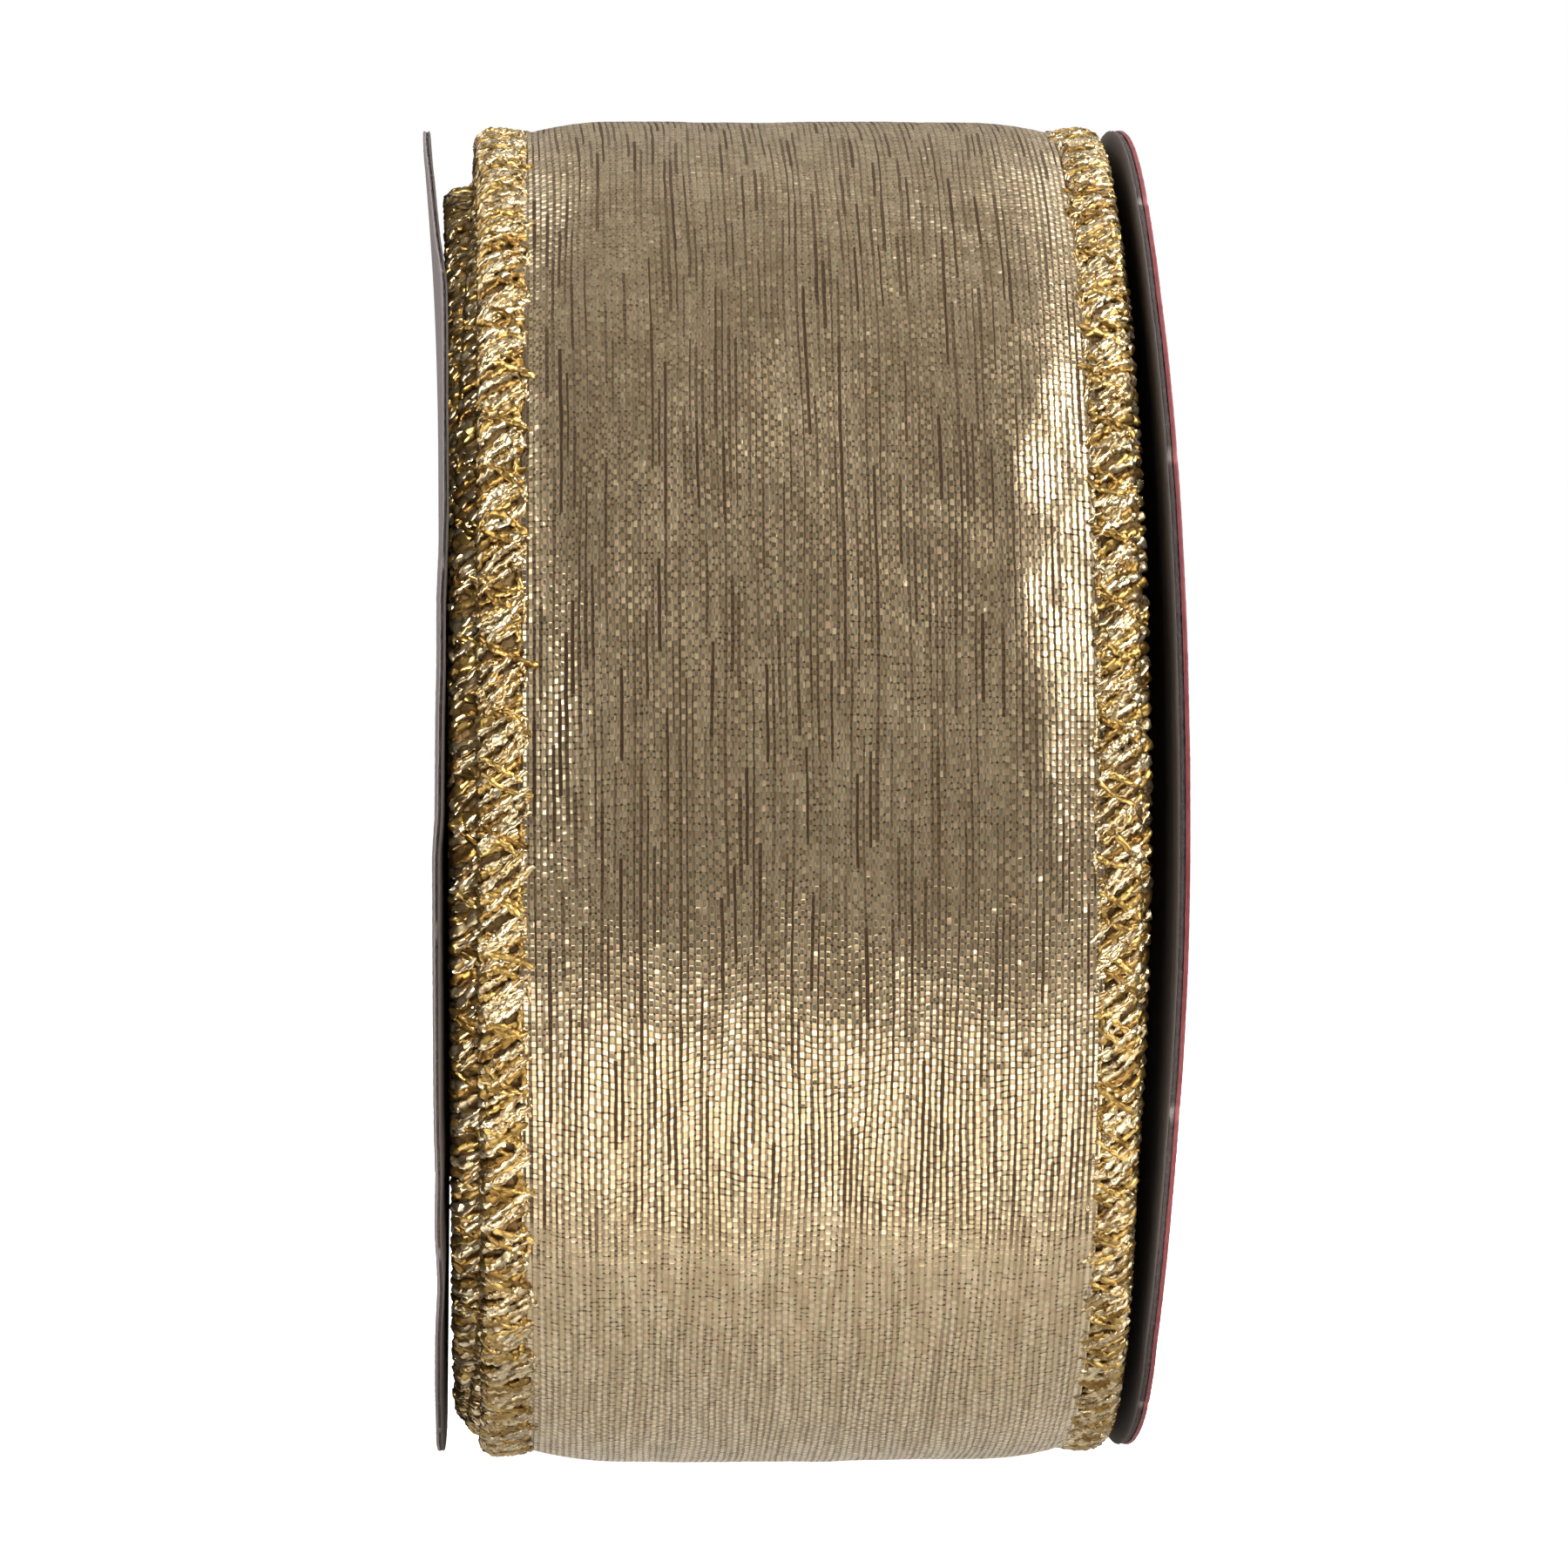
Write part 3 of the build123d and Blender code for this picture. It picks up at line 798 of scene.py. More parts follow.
class Overlock:
    """A run of overlock thread along one edge, between two wound angles."""

    def __init__(self, side, start, end, level, seed):
        self.side, self.level, self.seed = side, level, seed
        self.way = -side    # left edge leans along the ribbon, right edge against it
        self.start, self.end = float(length_at(start)), float(length_at(end))
        self.rng = np.random.default_rng(seed)
        self.tubes = Tubes()
        if level < 2:
            self.bed()
            first, last = (math.ceil(u / STITCH - 0.35) for u in (self.start, self.end))
            self.stitches = np.arange(first, last)
            self.base = (self.stitches * STITCH)[:, None] + self.jitter(0.10)
            self.wraps()
            self.loops()
            self.needle_thread()
        else:
            self.rope()

    def jitter(self, spread):
        """One random shift per stitch."""
        return self.rng.normal(0, spread, (len(self.stitches), 1))

    def row_count(self, full):
        return int(full * (1.0 if self.level == 0 else 0.62))

    def grid(self, step, inward):
        rows = max(3, int((self.end - self.start) / step) + 1)
        return np.meshgrid(np.linspace(self.start, self.end, rows), inward, indexing="ij")

    def bed(self):
        """Packed thread under the loops."""
        inward, lift = outline(np.concatenate([np.linspace(-1, 1, 14), [1.0, -1.0]]))
        inward[-2:], lift[-2:] = [2.6, 2.6], [0.05, 0.0]
        u, inward = self.grid(0.45 if self.level == 0 else 0.9, inward)
        phase = 2 * math.pi * (u * 2 / STITCH + self.way * inward * 0.35)
        lump = 0.84 + 0.06 * np.sin(phase) + self.rng.normal(0, 0.02, u.shape)
        points = edge_xyz(self.side, u, 1.4 + (inward - 1.4) * np.minimum(lump + 0.08, 0.97),
                          lift * lump)
        self.tubes.add(points, np.stack([u, np.full_like(u, 5.0), inward], -1))

    def rope(self):
        """The whole edge as one knobbly rope, for turns deep in the pack."""
        inward, lift = outline([-0.95, -0.6, -0.3, 0.0, 0.3, 0.6, 0.95, 0.97])
        inward[-1], lift[-1] = 2.6, 0.05
        u, inward = self.grid(0.62, inward)
        phase = 2 * math.pi * (u * 3 / STITCH + self.way * inward * 0.4)
        lump = 0.96 + 0.09 * np.sin(phase) + self.rng.normal(0, 0.04, u.shape)
        points = edge_xyz(self.side, u, 1.4 + (inward - 1.4) * lump, lift * lump)
        number = np.floor(u / (STITCH / 6) + self.way * inward * 0.6)
        number = number + 0.5 * (number % 2)
        self.tubes.add(points, np.stack([u, np.full_like(u, 0.2), number], -1))

    def wraps(self):
        """Filaments round the very edge."""
        per_stitch = 6 if self.level == 0 else 4
        t = np.linspace(-0.97, 0.99, self.row_count(30))
        section, section_lift = outline(t)
        arc = np.cumsum(np.hypot(np.diff(section), np.diff(section_lift)))
        arc = np.concatenate([[0], arc])
        arc -= np.interp(0, t, arc)
        for m in range(per_stitch):
            lean = self.way * -(0.55 + 0.20 * self.rng.uniform(-1, 1, self.base.shape))
            u = (self.base + m * STITCH / per_stitch + self.jitter(0.12)
                 + lean * arc * np.where(arc > 0, 1.0, 0.35))
            inward = (section + self.jitter(0.07) * np.clip(section, 0, 1)
                      + 0.06 * np.sin(u * 3.1 + m) * np.clip(section, 0, 1))
            outermost = -0.06 - 0.10 * self.rng.uniform(0, 1, self.base.shape)
            inward = np.maximum(inward, outermost)
            lift = (section_lift * (1.0 + 0.05 * (m % 2)) + 0.04 * np.sin(u * 4.7 + m * 2.0)
                    + self.jitter(0.03))
            self.strands(u, inward, lift, number=m + 0.5 * (m % 2), seed=self.seed * 31 + m,
                         width=0.62 if self.level == 0 else 0.78, thick=0.42, step=0.23)

    def loops(self):
        """Top loops: three filaments out to the edge, two steeper ones back."""
        reach = 2.15
        for m in range(5):
            out = m < 3
            t = np.linspace(0, 1, self.row_count(19 if out else 15))[None, :]
            bow = np.sin(math.pi * t)
            if out:
                u_from, u_to = 0.60 * m, reach + 0.55 * m
            else:
                u_from, u_to = reach + 0.60 * (m - 3) + 0.15, STITCH + 0.60 * (m - 3) + 0.1
            inner = 2.78 + self.jitter(0.26)
            in_from, in_to = (inner, 0.20) if out else (0.24, inner)
            shift_from, shift_to = self.jitter(0.20), self.jitter(0.20)
            u = self.base + self.way * (
                (u_from + shift_from) + (u_to + shift_to - u_from - shift_from) * t)
            inward = (in_from + (in_to - in_from) * t + self.jitter(0.14)
                      + 0.16 * bow * self.jitter(1))
            u = u + 0.22 * bow * self.jitter(1)
            inward = np.clip(inward, 0.03, 3.5)
            lift = (top_lift(inward) + 0.09 + 0.05 * bow + 0.035 * np.sin(u * 5.3 + m * 1.7)
                    + self.jitter(0.03))
            lift[:, 0] -= 0.08
            lift[:, -1] -= 0.08
            self.strands(u, inward, lift, number=10 + m + (0.0 if out else 0.5),
                         seed=self.seed * 37 + m, width=0.56 if out else 0.50, thick=0.40,
                         step=0.19)

    def needle_thread(self):
        """Short sunk bars along the inner side."""
        t = np.linspace(0, 1, self.row_count(15))[None, :]
        for m in range(2):
            u = self.base + (m * 0.5 + 0.06) * STITCH + 0.448 * STITCH * t + self.jitter(0.10)
            inward = (2.84 - 0.44 * m) + self.jitter(0.10) + 0.07 * np.sin(u * 2.1)
            lift = top_lift(inward) + 0.10 - 0.16 * np.abs(2 * t - 1) ** 3
            self.strands(u, inward, lift, number=20 + m + 0.5 * m, seed=self.seed * 41 + m,
                         width=0.46, thick=0.32, step=0.15)

    def strands(self, u, inward, lift, number, seed, width, thick, step):
        """Flat crumpled filaments; u, inward and lift are stitches x rows."""
        rng = np.random.default_rng(seed)
        count, rows = u.shape
        centre = edge_xyz(self.side, u, inward, lift)
        tangent = unit(np.gradient(centre, axis=1))
        up = centre - edge_xyz(self.side, u, 1.5, -0.35)
        up = unit(up - (up * tangent).sum(-1, keepdims=True) * tangent)
        across = np.cross(tangent, up)
        along = np.arange(rows)[None, :] * step + np.zeros((count, 1))
        crumple = rng.normal(0, 0.34, (count, rows))
        soften(crumple)
        twist = 0.50 * np.sin(along * rng.uniform(1.4, 3.2, (count, 1))
                              + rng.uniform(0, 6.28, (count, 1))) + crumple
        cos, sin = np.cos(twist)[..., None], np.sin(twist)[..., None]
        tall, wide = cos * up + sin * across, cos * across - sin * up
        width = (width * (1 + rng.normal(0, 0.09, (count, rows)))
                 * rng.uniform(0.85, 1.15, (count, 1)))
        taper = np.ones(rows)
        taper[0] = taper[-1] = 0.45
        shake = rng.normal(0, 0.026, centre.shape)
        soften(shake)
        phase = math.pi * along / 0.62 + rng.uniform(0, 3.14, (count, 1))
        bead = (0.62 + 0.52 * np.abs(np.sin(phase)))[..., None]
        width = (width * taper)[..., None] * bead
        rings = hexagons(centre + shake, wide * width, tall * (thick * bead), shoulder=0.27)
        numbers = (self.stitches * 32 + number)[:, None, None]
        for ring, values in zip(rings, strand_values(rings.shape, along, numbers)):
            self.tubes.add(ring, values)


def wire_piece(name, side, start, end):
    """Round wire inside the overlocking, standing out a little at the cut end."""
    overhang = 0.35 if end == END else 0.0
    u_start, u_end = float(length_at(start)), float(length_at(end)) + overhang
    u, phase = np.meshgrid(np.linspace(u_start, u_end, max(4, int((u_end - u_start) / 1.6))),
                           np.arange(6) * math.pi / 3, indexing="ij")
    points = edge_xyz(side, u, 0.78 + 0.2 * np.cos(phase) + 0.05 * np.sin(u * 0.8),
                      0.2 * np.sin(phase) * -side)
    tubes = Tubes()
    tubes.add(points, np.stack([u, phase, np.full_like(u, 1.0 + side)], -1))
    return tubes.object(name, WIRE)


# --------------------------------------------------- ribbon: put on the spool
def tangent_points(bend):
    """Two points 4 mm either side of a bend, along the ribbon, in metres."""
    angle = TAIL_ANGLE + bend * BEND_STEP
    centre = place(angle, 0, 0)
    tangent = place(angle + 0.2, 0, 0) - place(angle - 0.2, 0, 0)
    tangent /= np.linalg.norm(tangent)
    return tuple((centre - 4 * tangent) * MM), tuple((centre + 4 * tangent) * MM)


def attach(ob, where, slot, *nodes):
    """where: the part it rides, or (part, next part, bend number) for a piece between two, which
    is attached to neither and only has its transform baked in.
    """
    if isinstance(where, str):
        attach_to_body(ob, where)
    else:
        part, next_part, bend = where
        start, end = tangent_points(bend)
        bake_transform(ob)
    if nodes:
        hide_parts(*nodes)


# wound angles; level 0: full overlocking, 1: fewer rows and strands, 2: a rope;
# node: prefix of the CAD pieces it replaces
Span = namedtuple("Span", "tag start end level where node")
# each bend's piece reaches half a step either side of it
JOINS = [TAIL_ANGLE + (n - 0.5) * BEND_STEP for n in range(4)]
THIRD = (JOINS[0] - LAST_TURN) / 3
OUTER_SPANS = [
    Span("outer_a", LAST_TURN, LAST_TURN + THIRD, 0, "spool", None),
    Span("outer_b", LAST_TURN + THIRD, LAST_TURN + 2 * THIRD, 0, "spool", None),
    Span("outer_c", LAST_TURN + 2 * THIRD, JOINS[0], 0, "spool", None)]
END_SPANS = [
    Span("free_end_1", JOINS[0], JOINS[1], 0, ("spool", "tail_1", 0), "tail_1"),
    Span("free_end_2", JOINS[1], JOINS[2], 0, ("tail_1", "tail_2", 1), "tail_2"),
    Span("free_end_3", JOINS[2], JOINS[3], 0, ("tail_2", "tail_3", 2), None),
    Span("free_end_4", JOINS[3], END, 0, "tail_3", "tail_3")]
INNER_SPANS = [
    Span("inner_turns", 0, 2880, 2, "spool", "wound"),
    Span("turn_17", 2880, 3240, 1, "spool", None),
    Span("turn_19", 3240, 3600, 1, "spool", None),
    Span("turn_21", 3600, LAST_TURN, 1, "spool", None)]
WEB_SPANS = [Span("inner_turns", 0, LAST_TURN, 2, "spool", "wound"), *OUTER_SPANS, *END_SPANS]
WIRE_SPANS = [Span("wound", 0, JOINS[0], 0, "spool", "wound"), *END_SPANS]


def replaced(span, piece):
    return [f"{span.node}_{piece}"] if span.node else []


for span in WEB_SPANS:
    web = web_piece(f"web_{span.tag}", span.start, span.end, fine=span.level < 2)
    attach(web, span.where, "metallic_web", *replaced(span, "web"))
for span in INNER_SPANS + OUTER_SPANS + END_SPANS:
    level = span.level
    for side, hand in SIDES:
        seed = 100 + int(span.start) * 2 + side
        run = Overlock(side, span.start, span.end, level, seed)
        attach(run.tubes.object(f"overlock_{hand}_{span.tag}", STRAND), span.where,
               "gold_overlock", *replaced(span, f"merrow_{hand}"))
for span in WIRE_SPANS:
    for side, hand in SIDES:
        wire = wire_piece(f"wire_{hand}_{span.tag}", side, span.start, span.end)
        attach(wire, span.where, "edge_wire", *replaced(span, f"wire_{hand}"))


def loose_yarns():
    """Frayed yarns at the cut end."""
    tubes = Tubes()
    rng = np.random.default_rng(77)
    t = np.linspace(0, 1, 12)
    for i in range(26):
        x = rng.uniform(-15.6, 15.6)
        length = rng.uniform(0.4, 2.4) if i % 4 else rng.uniform(2.5, 4.5)
        u = length_at(END) - 1.2 + (length + 1.2) * t
        angle = TAIL_ANGLE + (u - length_at(TAIL_ANGLE)) / TAIL_HALF_ARC * 180.0
        bend = rng.uniform(-0.5, 0.9)
        bent_x = x + bend * t**2 * length * 0.5 + drift(END)
        lift = (web_height(np.full(12, END), u, np.full(12, x)) + 0.03
                - 0.10 * length * t**2 + 0.1 * np.sin(3 * t + i))
        centre = place(np.minimum(angle, TAIL_ANGLE + 179), lift, bent_x)
        tangent = unit(np.gradient(centre, axis=0))
        up = place(angle, lift + 1, bent_x) - centre
        across = np.cross(tangent, up)
        twist = np.sin(5 * t + i)[:, None] * 0.6
        wide = across * np.cos(twist) + up * np.sin(twist)
        tall = up * np.cos(twist) - across * np.sin(twist)
        ring = hexagons(centre, wide * 0.26, tall * 0.05, shoulder=0.25)
        tubes.add(ring, strand_values(ring.shape, length * t, 9000 + i))
    return tubes.object("loose_yarns", STRAND)


attach(loose_yarns(), "tail_3", "metallic_web")


def tape_piece():
    """Film across the cut end, stepping down on to the turn below; zigzag ends."""
    per_degree = TAIL_HALF_ARC / 180.0
    # degrees past the start of the tail, closer together over the step
    stations = np.concatenate([np.linspace(70.3, 80.6, 24), np.linspace(80.9, 85.2, 18),
                               np.linspace(85.7, 94.0, 18)])
    past, x = np.meshgrid(stations, np.linspace(-9.5, 9.5, 77), indexing="ij")
    teeth = np.abs((x % 1.0) - 0.5) * 2.0 * 0.55 / per_degree
    ramp = np.clip(1 - np.arange(len(stations)) / 4.0, 0, 1)[:, None]
    past = past + teeth * ramp - teeth * ramp[::-1]
    angle = TAIL_ANGLE + past
    on_web = np.minimum(angle, END)
    upper = web_height(on_web, length_at(on_web), x)
    lower = web_height(angle - 360, length_at(angle - 360), x) - PITCH
    step = np.clip((past - 81.1) / 3.2, 0, 1)
    step = step * step * (3 - 2 * step)
    lift = upper * (1 - step) + lower * step + 0.045 + 0.02 * waves(past * per_degree, x, 12, 5.0)
    verts = [place(angle, h, x + drift(END)).reshape(-1, 3) for h in (lift + 0.055, lift)]
    return mesh_object("end_tape_film", np.concatenate(verts),
                       np.concatenate(sheet_quads(*x.shape)), TAPE)


attach(tape_piece(), "tail_3", "clear_tape", "end_tape")

# --------------------------------------------------------------------- discs
# how far each rim stands off flat in x, by height z
RIM_Z = [-39, -35, -32, -28.6, -25, -22, -19, -16, -13, -10, -4, -1.3,
         1.6, 4.6, 7.6, 10.5, 13.5, 16.6, 22.6, 26, 29, 32.6, 36.2, 39.7]
RIM_X = {-1: [-.48, -.54, -.52, -.38, -.52, -.47, -.54, -.55, -.55, -.55, -.54, -.36,
              -.31, -.26, -.17, -.15, -.01, .09, .10, .12, .10, -.30, -.60, -.85],
         1: [.35, .24, .13, .14, .17, .22, .28, .37, .43, .49, .53, .53,
             .53, .51, .50, .48, .45, .42, .32, .26, .20, .20, .25, .33]}
# polar angles of small rim nicks
NICKS = {-1: [11.2 + 30 * n for n in range(12)],
         1: [5, 36, 62, 95, 121, 152, 207.4, 245.6, 275, 304, 331]}
PAPER = 0.075                       # liner thickness
OUTER_FACE = 20.875                 # distance of a disc's outer face from the middle
INNER_FACE = {-1: 20.43, 1: 20.13}
FLAT_RADII = [14.0, 18.0, 22.0, 25.0, 28.0, 31.0, 33.5, 36.0, 38.0, 39.4, 40.1]


def disc_warp(side, degrees, radius):
    """How far a disc stands off flat: it is glued flat on the tube and flares outwards."""
    grow = (np.clip((radius - 25.0) / 15.5, 0, 1.05)) ** 1.5
    y, z = 40.5 * np.cos(np.radians(degrees)), 40.5 * np.sin(np.radians(degrees))
    skew = 0.0
    if side < 0:
        # the foot of the plain disc is skewed: its far side leans in
        skew = 0.34 * np.clip((-z - 25.0) / 6.0, 0, 1) * np.clip(y / 20.0 + 0.5, 0, 1)
        # front and back rims follow one another closely; the back one lies a little flatter
        z = z * (450.0 - np.abs(y)) / (450.0 + y)
    return grow * (smooth_interp(z, RIM_Z, RIM_X[side]) + skew)


def disc_piece(name, side, section, material, rough, seed):
    """section: (radius, distance from the middle, rim mark) round one layer, closed."""
    rng = np.random.default_rng(seed)
    section_r, section_x, section_mark = np.array(section, float).T
    count = 1080
    degrees, radius = np.meshgrid(np.arange(count) * 360.0 / count, section_r, indexing="ij")
    x = np.broadcast_to(section_x, degrees.shape)
    mark = np.broadcast_to(section_mark, degrees.shape)
    nick = np.zeros_like(degrees)
    for at in NICKS[side]:
        away = np.abs((degrees - at + 180) % 360 - 180)
        nick = np.maximum(nick, np.clip(1.4 - away / 0.62, 0, 1))
    rim = np.clip((radius - 39.6) / 0.8, 0, 1)
    hole = np.clip((13.1 - radius) / 0.4, 0, 1)
    ripples = zip(rng.integers(40, 420, 9), rng.uniform(0, 6.28, 9))
    fuzz = sum(np.sin(np.radians(degrees) * f + phase) for f, phase in ripples) / 3.0
    grit = rough * 0.6 * rng.normal(0, 1, degrees.shape)
    worn = radius + rim * (rough * fuzz - 0.14 * nick + grit) + hole * rough * 0.8 * fuzz
    x = x + rim * rough * 0.5 * rng.normal(0, 1, degrees.shape)
    values = np.stack([nick * rim, mark, radius], -1).reshape(-1, 3)
    return lathe(name, degrees, side * x + disc_warp(side, degrees, radius), worn, material,
                 side < 0, "rim", values)


def layer(x0, x1, lip=0.0):
    """Section of a flat layer; a lip folds back over the layer before it at the rim."""
    points = [(12.72, x1, 0.6), (12.95, x1, 0.2)] + [(r, x1, 0) for r in FLAT_RADII]
    if lip:
        way = 1 if x1 > x0 else -1
        points += [(40.38, x1, 0.1), (40.52, x1 - way * 0.025, 0.25),
                   (40.565, x1 - way * 0.075, 0.4), (40.56, x0 - way * lip, 1.0),
                   (40.49, x0 - way * lip, 1.0), (40.47, x0, 0.0)]
    else:
        soft = (x1 - x0) * 0.12
        points += [(40.40, x1, 0.0), (40.47, x1 - soft, 0.0), (40.50, (x0 + x1) / 2, 0.0),
                   (40.47, x0 + soft, 0.0), (40.40, x0, 0.0)]
    points += [(r, x0, 0) for r in FLAT_RADII[::-1]]
    return points + [(12.95, x0, 0.2), (12.70, x0 + (x1 - x0) * 0.1, 0.6)]


# the print is set deeper at the back and rolls less far over the edge:
# outer layer's depth, lip, material, slot
OUTER_LAYERS = {-1: (PAPER, 0.10, PLAIN, "plain_liner"), 1: (0.26, 0.02, PRINT, "printed_liner")}
for side, hand in SIDES:
    face = INNER_FACE[side]
    depth, lip, outer_material, outer_slot = OUTER_LAYERS[side]
    # the inner liner is built from the board outwards, so its loop runs the other way
    layers = [
        ("inner_paper", layer(face + PAPER, face, 0.05)[::-1], INNER, 0.012, 5,
         "inner_liner", "inner_liner"),
        ("greyboard", layer(face + PAPER, OUTER_FACE - depth), BOARD, 0.022, 15,
         "greyboard", "board"),
        ("outer_paper", layer(OUTER_FACE - depth, OUTER_FACE, lip), outer_material, 0.012, 25,
         outer_slot, "outer_liner")]
    for tag, section, material, rough, seed, slot, node in layers:
        disc = disc_piece(f"{hand}_disc_{tag}", side, section, material, rough, seed + side)
        attach(disc, "spool", slot, f"{hand}_disc_{node}")

# ---------------------------------------------------------------- core, glue
for node, material in (("core_outer_ply", CORE_OUTER), ("core_inner_ply", CORE_INNER),
                       ("start_glue_dab", GLUE)):
    ob = frame["nodes"][node]
    ob.data.materials.clear()
    ob.data.materials.append(material)

# glue section: distance in along x from the disc, distance in from the tube's bore
BEAD_SECTION = [(0, 0), (0.45, 0.0), (0.95, 0.03), (1.28, 0.10), (1.02, 0.42),
                (0.72, 0.70), (0.42, 0.98), (0.10, 1.28), (0.02, 0.95), (0.0, 0.45)]
BORE_R = 23.78


def bead_piece(name, side, seed):
    """Hot-melt fillet between the tube's bore and the disc: an uneven drawn bead."""
    rng = np.random.default_rng(seed)
    count = 300
    around = np.arange(count) * 360.0 / count
    ripples = zip((2, 5, 9, 17, 31), rng.uniform(0, 6.28, 5))
    ripple = sum(np.sin(np.radians(around) * f + phase) for f, phase in ripples)
    lump = (1.0 + 0.16 * ripple / 2.2)[:, None]
    along, inward = np.array(BEAD_SECTION).T
    along = np.minimum(along * lump, 1.5)
    inward = np.minimum(inward * lump * 0.98, 1.45)
    degrees = np.repeat(around[:, None], len(BEAD_SECTION), axis=1)
    return lathe(name, degrees, side * (INNER_FACE[side] - 0.02 - along), BORE_R - inward,
                 GLUE, side > 0)


for side, hand in SIDES:
    attach(bead_piece(f"{hand}_glue_fillet", side, 40 + side), "spool", "hot_melt",
           f"{hand}_glue_bead")

# --------------------------------------------------------------------- stage
FLOOR_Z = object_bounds()[0][2] - 0.0001
FLOOR_SEEN = 0.91                          # glow added where the viewer sees the floor
GLOW_NEAR, GLOW_FRONT, GLOW_FAR = 0.74, 2.05, 0.120    # floor as seen in reflections
SKY_GAIN = 1.25
# brightness from straight down (0) to straight up (1), on the viewer's side and beyond
SKY_FRONT = [(0.0, 0.130), (0.5, 0.130), (0.67, 0.098), (0.80, 0.078), (0.90, 0.066),
             (0.96, 0.072), (1.0, 0.160)]
SKY_BACK = [(0.0, 0.30), (0.5, 0.35), (0.75, 0.30), (0.93, 0.225), (1.0, 0.170)]


def room_shapes(net, direction, rough):
    """Blotches of furniture and room, as a brightness factor."""
    shapes = net.noise(direction, scale=10.0, detail=3.0, rough=rough)
    return net.fit(shapes, (0.30, 0.70), (0.15, 2.1))


def floor_material():
    """Pale sweep. Seen directly it is near white; in reflections it is a darker
    table with a bright patch close round the object. That table is painted light: to every
    ray but the camera's the floor glows, with dim room shapes further out."""
    net = material_net("studio_floor")
    camera_ray = net.node("ShaderNodeLightPath", output="Is Camera Ray")
    position = net.scaled(net.node("ShaderNodeNewGeometry", output="Position"), 1000.0)
    x, y, _ = net.parts(position)
    far = net.math("MAXIMUM", net.absolute(y), net.mul(net.absolute(x), 0.7))
    ahead = net.fit(y, (-37.5, -36.0), (1.0, 0.0), smooth=True)
    glow = net.mul_add(ahead, GLOW_FRONT - GLOW_NEAR, GLOW_NEAR)
    glow = net.mul(glow, net.fit(far, (46.0, 70.0), (1.0, 1.75)))
    glow = net.mix_value(net.fit(far, (71.0, 72.5), smooth=True), glow, GLOW_FAR)
    room = room_shapes(net, net.vector("NORMALIZE", position), rough=0.65)
    glow = net.mul(glow, net.mix_value(net.fit(far, (74.0, 96.0)), 1.0, room))
    grain = net.noise(net.scaled(position, 0.05), scale=1.0, detail=3.0)
    seen = net.node("ShaderNodeEmission", {"Color": (1.0, 1.0, 1.0), "Strength": FLOOR_SEEN})
    matt = net.node("ShaderNodeBsdfDiffuse",
                    {"Color": net.mix(grain, (0.80, 0.80, 0.80), (0.86, 0.86, 0.86))})
    both = net.node("ShaderNodeAddShader", {0: seen, 1: matt})
    # painted light: this glow is what the floor shows to all but camera rays
    lit = net.node("ShaderNodeEmission", {"Color": (1.0, 0.975, 0.94), "Strength": glow})
    return net.finish(net.node("ShaderNodeMixShader", {0: camera_ray, 1: lit, 2: both}))


def sky_ramp(net, height, stops, green, blue):
    """Brightness by height; green and blue are relative to red."""
    node = net.new("ShaderNodeValToRGB", {0: height})
    elements = node.color_ramp.elements
    while len(elements) < len(stops):
        elements.new(0.5)
    for element, (at, value) in zip(elements, stops):
        element.position = at
        element.color = (value * SKY_GAIN, value * SKY_GAIN * green, value * SKY_GAIN * blue, 1)
    return node.outputs[0]


def studio_world():
    """White to the viewer; a dim room in reflections."""
    world = bpy.data.worlds.new("studio")
    scene.world = world
    net = Net(world, "ShaderNodeOutputWorld")
    direction = net.node("ShaderNodeTexCoord", output="Generated")
    _, y, z = net.parts(direction)
    height = net.fit(z, (-1.0, 1.0))
    sky = net.mix(net.fit(y, (-0.35, 0.45), smooth=True),
                  sky_ramp(net, height, SKY_FRONT, green=0.93, blue=0.81),
                  sky_ramp(net, height, SKY_BACK, green=0.98, blue=0.93))
    # dim shapes of a room low in the sky, fading out by 35 degrees up
    low = net.fit(z, (0.05, 0.55), (1.0, 0.15), smooth=True)
    room = room_shapes(net, direction, rough=0.5)
    gain = net.node("ShaderNodeMix", {0: low, 2: 1.0, 3: room})
    around = net.node("ShaderNodeBackground", {0: sky, 1: gain})
    seen = net.node("ShaderNodeBackground", {0: (1, 1, 1, 1), 1: 1.0})
    camera_ray = net.node("ShaderNodeLightPath", output="Is Camera Ray")
    net.finish(net.node("ShaderNodeMixShader", {0: camera_ray, 1: around, 2: seen}))


bpy.ops.mesh.primitive_grid_add(x_subdivisions=24, y_subdivisions=24, size=80.0,
                                location=(0, 0, FLOOR_Z))
floor = bpy.context.object
floor.name = "floor"
floor.data.materials.append(floor_material())
studio_world()


# -------------------------------------------------------------------- lights
def receivers(name, objects):
    collection = bpy.data.collections.new(name)
    for ob in objects:
        collection.objects.link(ob)
    return collection


LIGHT_DISTANCE = 0.8
EDGES = receivers("edge_receivers",
                  [ob for ob in scene.objects if ob.name.startswith("overlock_")])
UNDER_NAMES = {f"overlock_left_{span.tag}" for span in INNER_SPANS if span.start < 3900}
UNDER = receivers("under_turn_receivers", [ob for ob in EDGES.objects if ob.name in UNDER_NAMES])
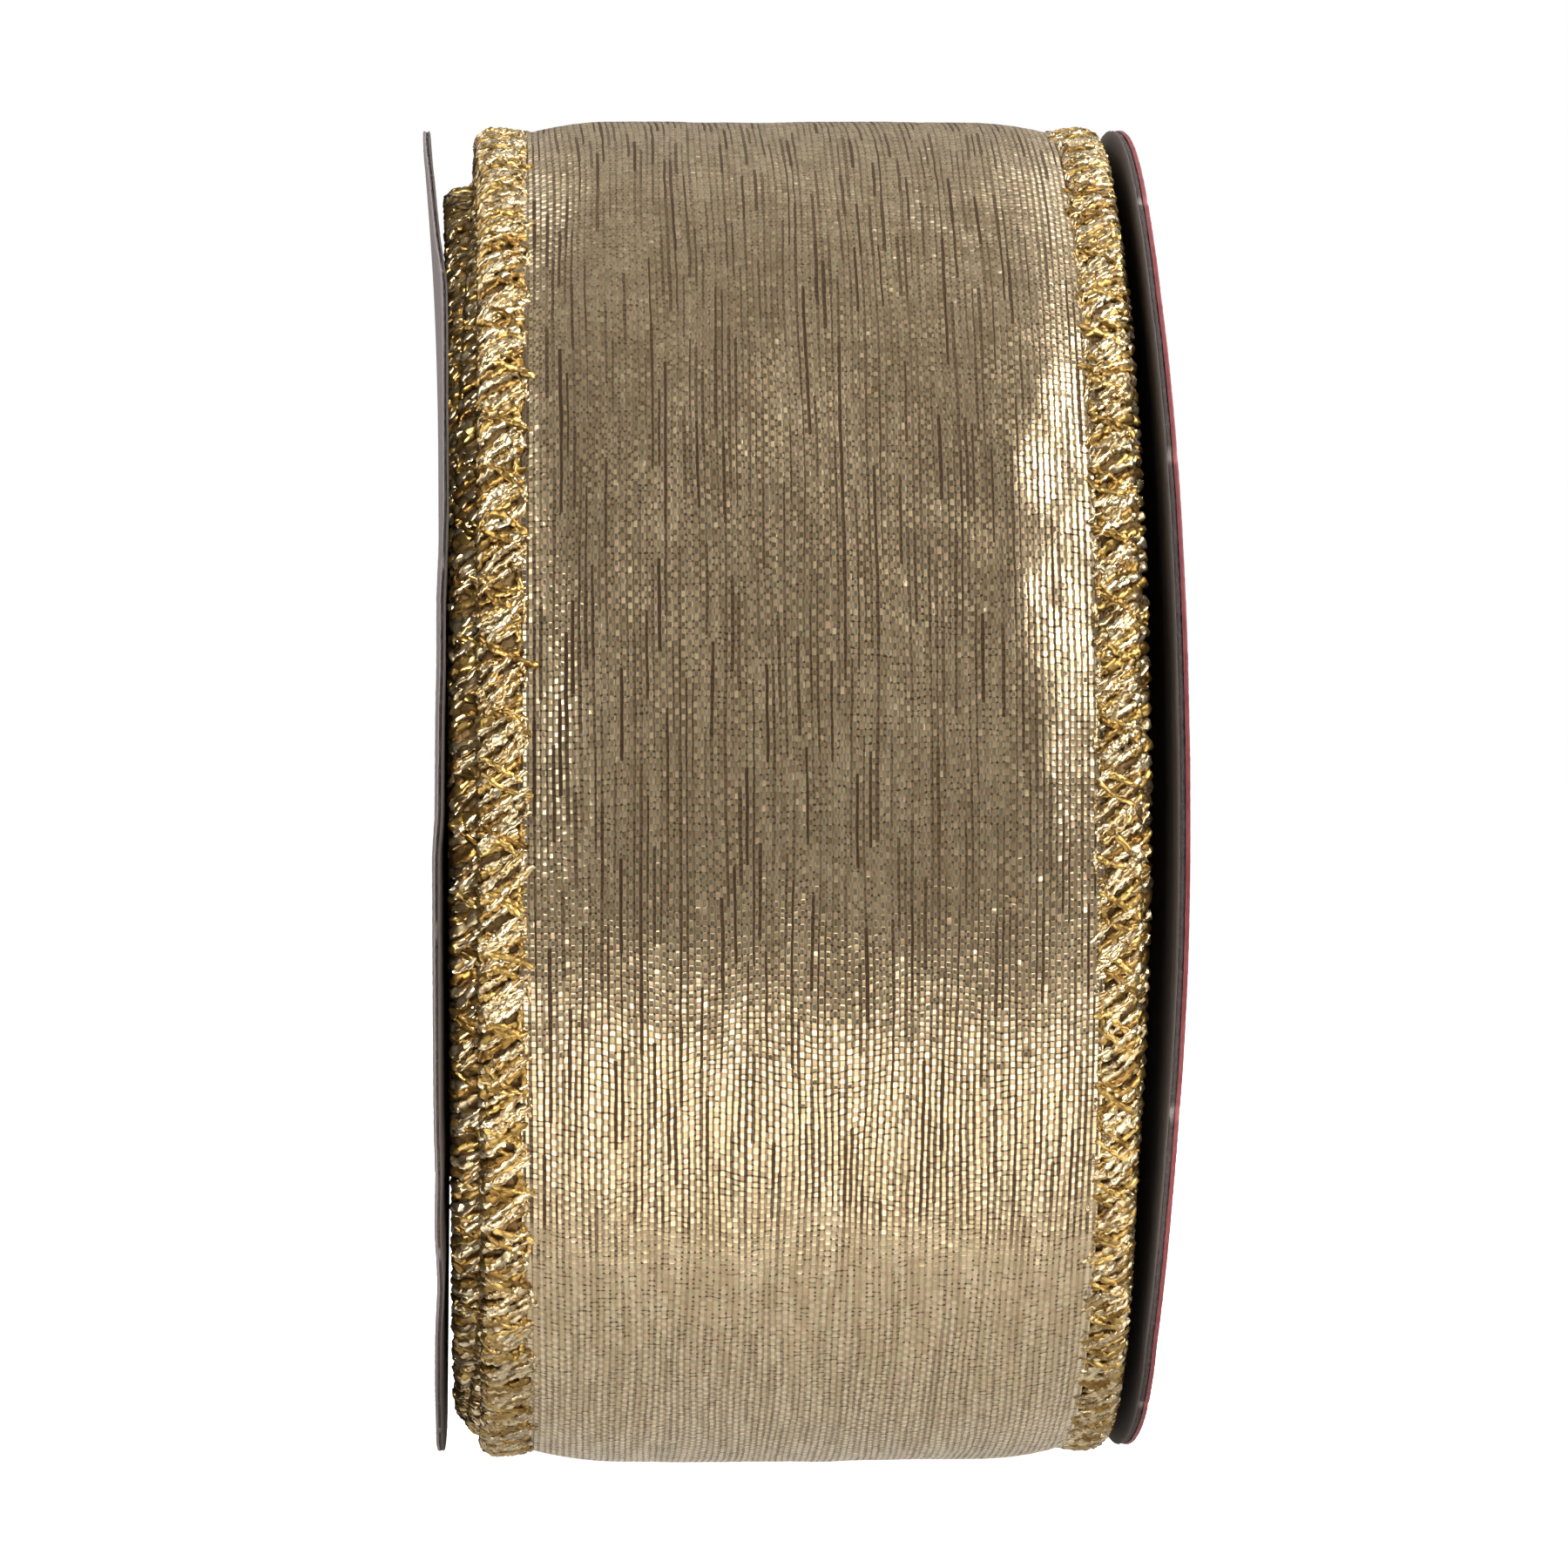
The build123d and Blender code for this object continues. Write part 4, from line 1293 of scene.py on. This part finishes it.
# name, azimuth from the viewer (-y) towards +x, elevation, angular width and height,
# radiance, the only objects lit (None: all); angles in degrees
LIGHTS = [("window_upper", 56, 50, 23, 19, 10.0, None),
          ("window_lower", 43, 27, 18, 20, 11.0, None),
          ("window_tall", 60, 36, 8, 50, 1.0, None),
          ("window_left", -47, 27, 8, 46, 3.5, None),
          ("fill_left", -21, 7, 7, 26, 5.0, None),
          ("fill_right", 29, 4, 7, 22, 5.0, None),
          ("edge_fill_left", 2, 10, 10, 44, 9.5, EDGES),
          ("edge_fill_right", 17, 12, 10, 44, 7.0, EDGES),
          ("gap_fill_left", -1, 2, 12, 60, 22.0, UNDER),
          ("strip_0", 76, 20, 15, 70, 6.0, None),
          ("strip_1", -76, 18, 15, 70, 6.0, None),
          ("strip_2", 112, 25, 15, 56, 5.0, None),
          ("strip_3", -112, 25, 15, 56, 5.0, None),
          ("strip_4", 152, 50, 15, 30, 1.8, None),
          ("strip_5", -152, 50, 15, 30, 1.8, None)]
for name, azimuth, elevation, wide, high, radiance, only in LIGHTS:
    width, height = (2 * LIGHT_DISTANCE * math.tan(math.radians(a / 2)) for a in (wide, high))
    light = bpy.data.lights.new(name, "AREA")
    light.shape = "RECTANGLE"
    light.size = width
    light.size_y = height
    light.energy = math.pi * width * height * radiance
    ob = bpy.data.objects.new(name, light)
    a, e = math.radians(azimuth), math.radians(elevation)
    toward = Vector((math.sin(a) * math.cos(e), -math.cos(a) * math.cos(e), math.sin(e)))
    ob.location = toward * LIGHT_DISTANCE
    ob.rotation_euler = (Vector((0, 0, 0)) - ob.location).to_track_quat("-Z", "Y").to_euler()
    ob.visible_camera = False
    scene.collection.objects.link(ob)
    if only:
        ob.light_linking.receiver_collection = only

# -------------------------------------------------------------------- camera
camera_data = bpy.data.cameras.new("camera")
camera_data.sensor_width = 36.0
camera_data.lens = 167.16
camera_data.clip_start = 0.01
camera_data.clip_end = 50.0
camera = bpy.data.objects.new("camera", camera_data)
camera.location = (-0.021425, -0.450, 0.00032)
CAMERA_TARGET = Vector((0.000375, 0.0, 0.00032))
CAMERA_ROLL = math.radians(-0.3)
look = (CAMERA_TARGET - camera.location).to_track_quat("-Z", "Y")
camera.rotation_mode = "QUATERNION"
camera.rotation_quaternion = look @ Quaternion((0, 0, 1), CAMERA_ROLL)
scene.collection.objects.link(camera)
scene.camera = camera

scene.view_settings.view_transform = "Standard"
scene.view_settings.look = "None"
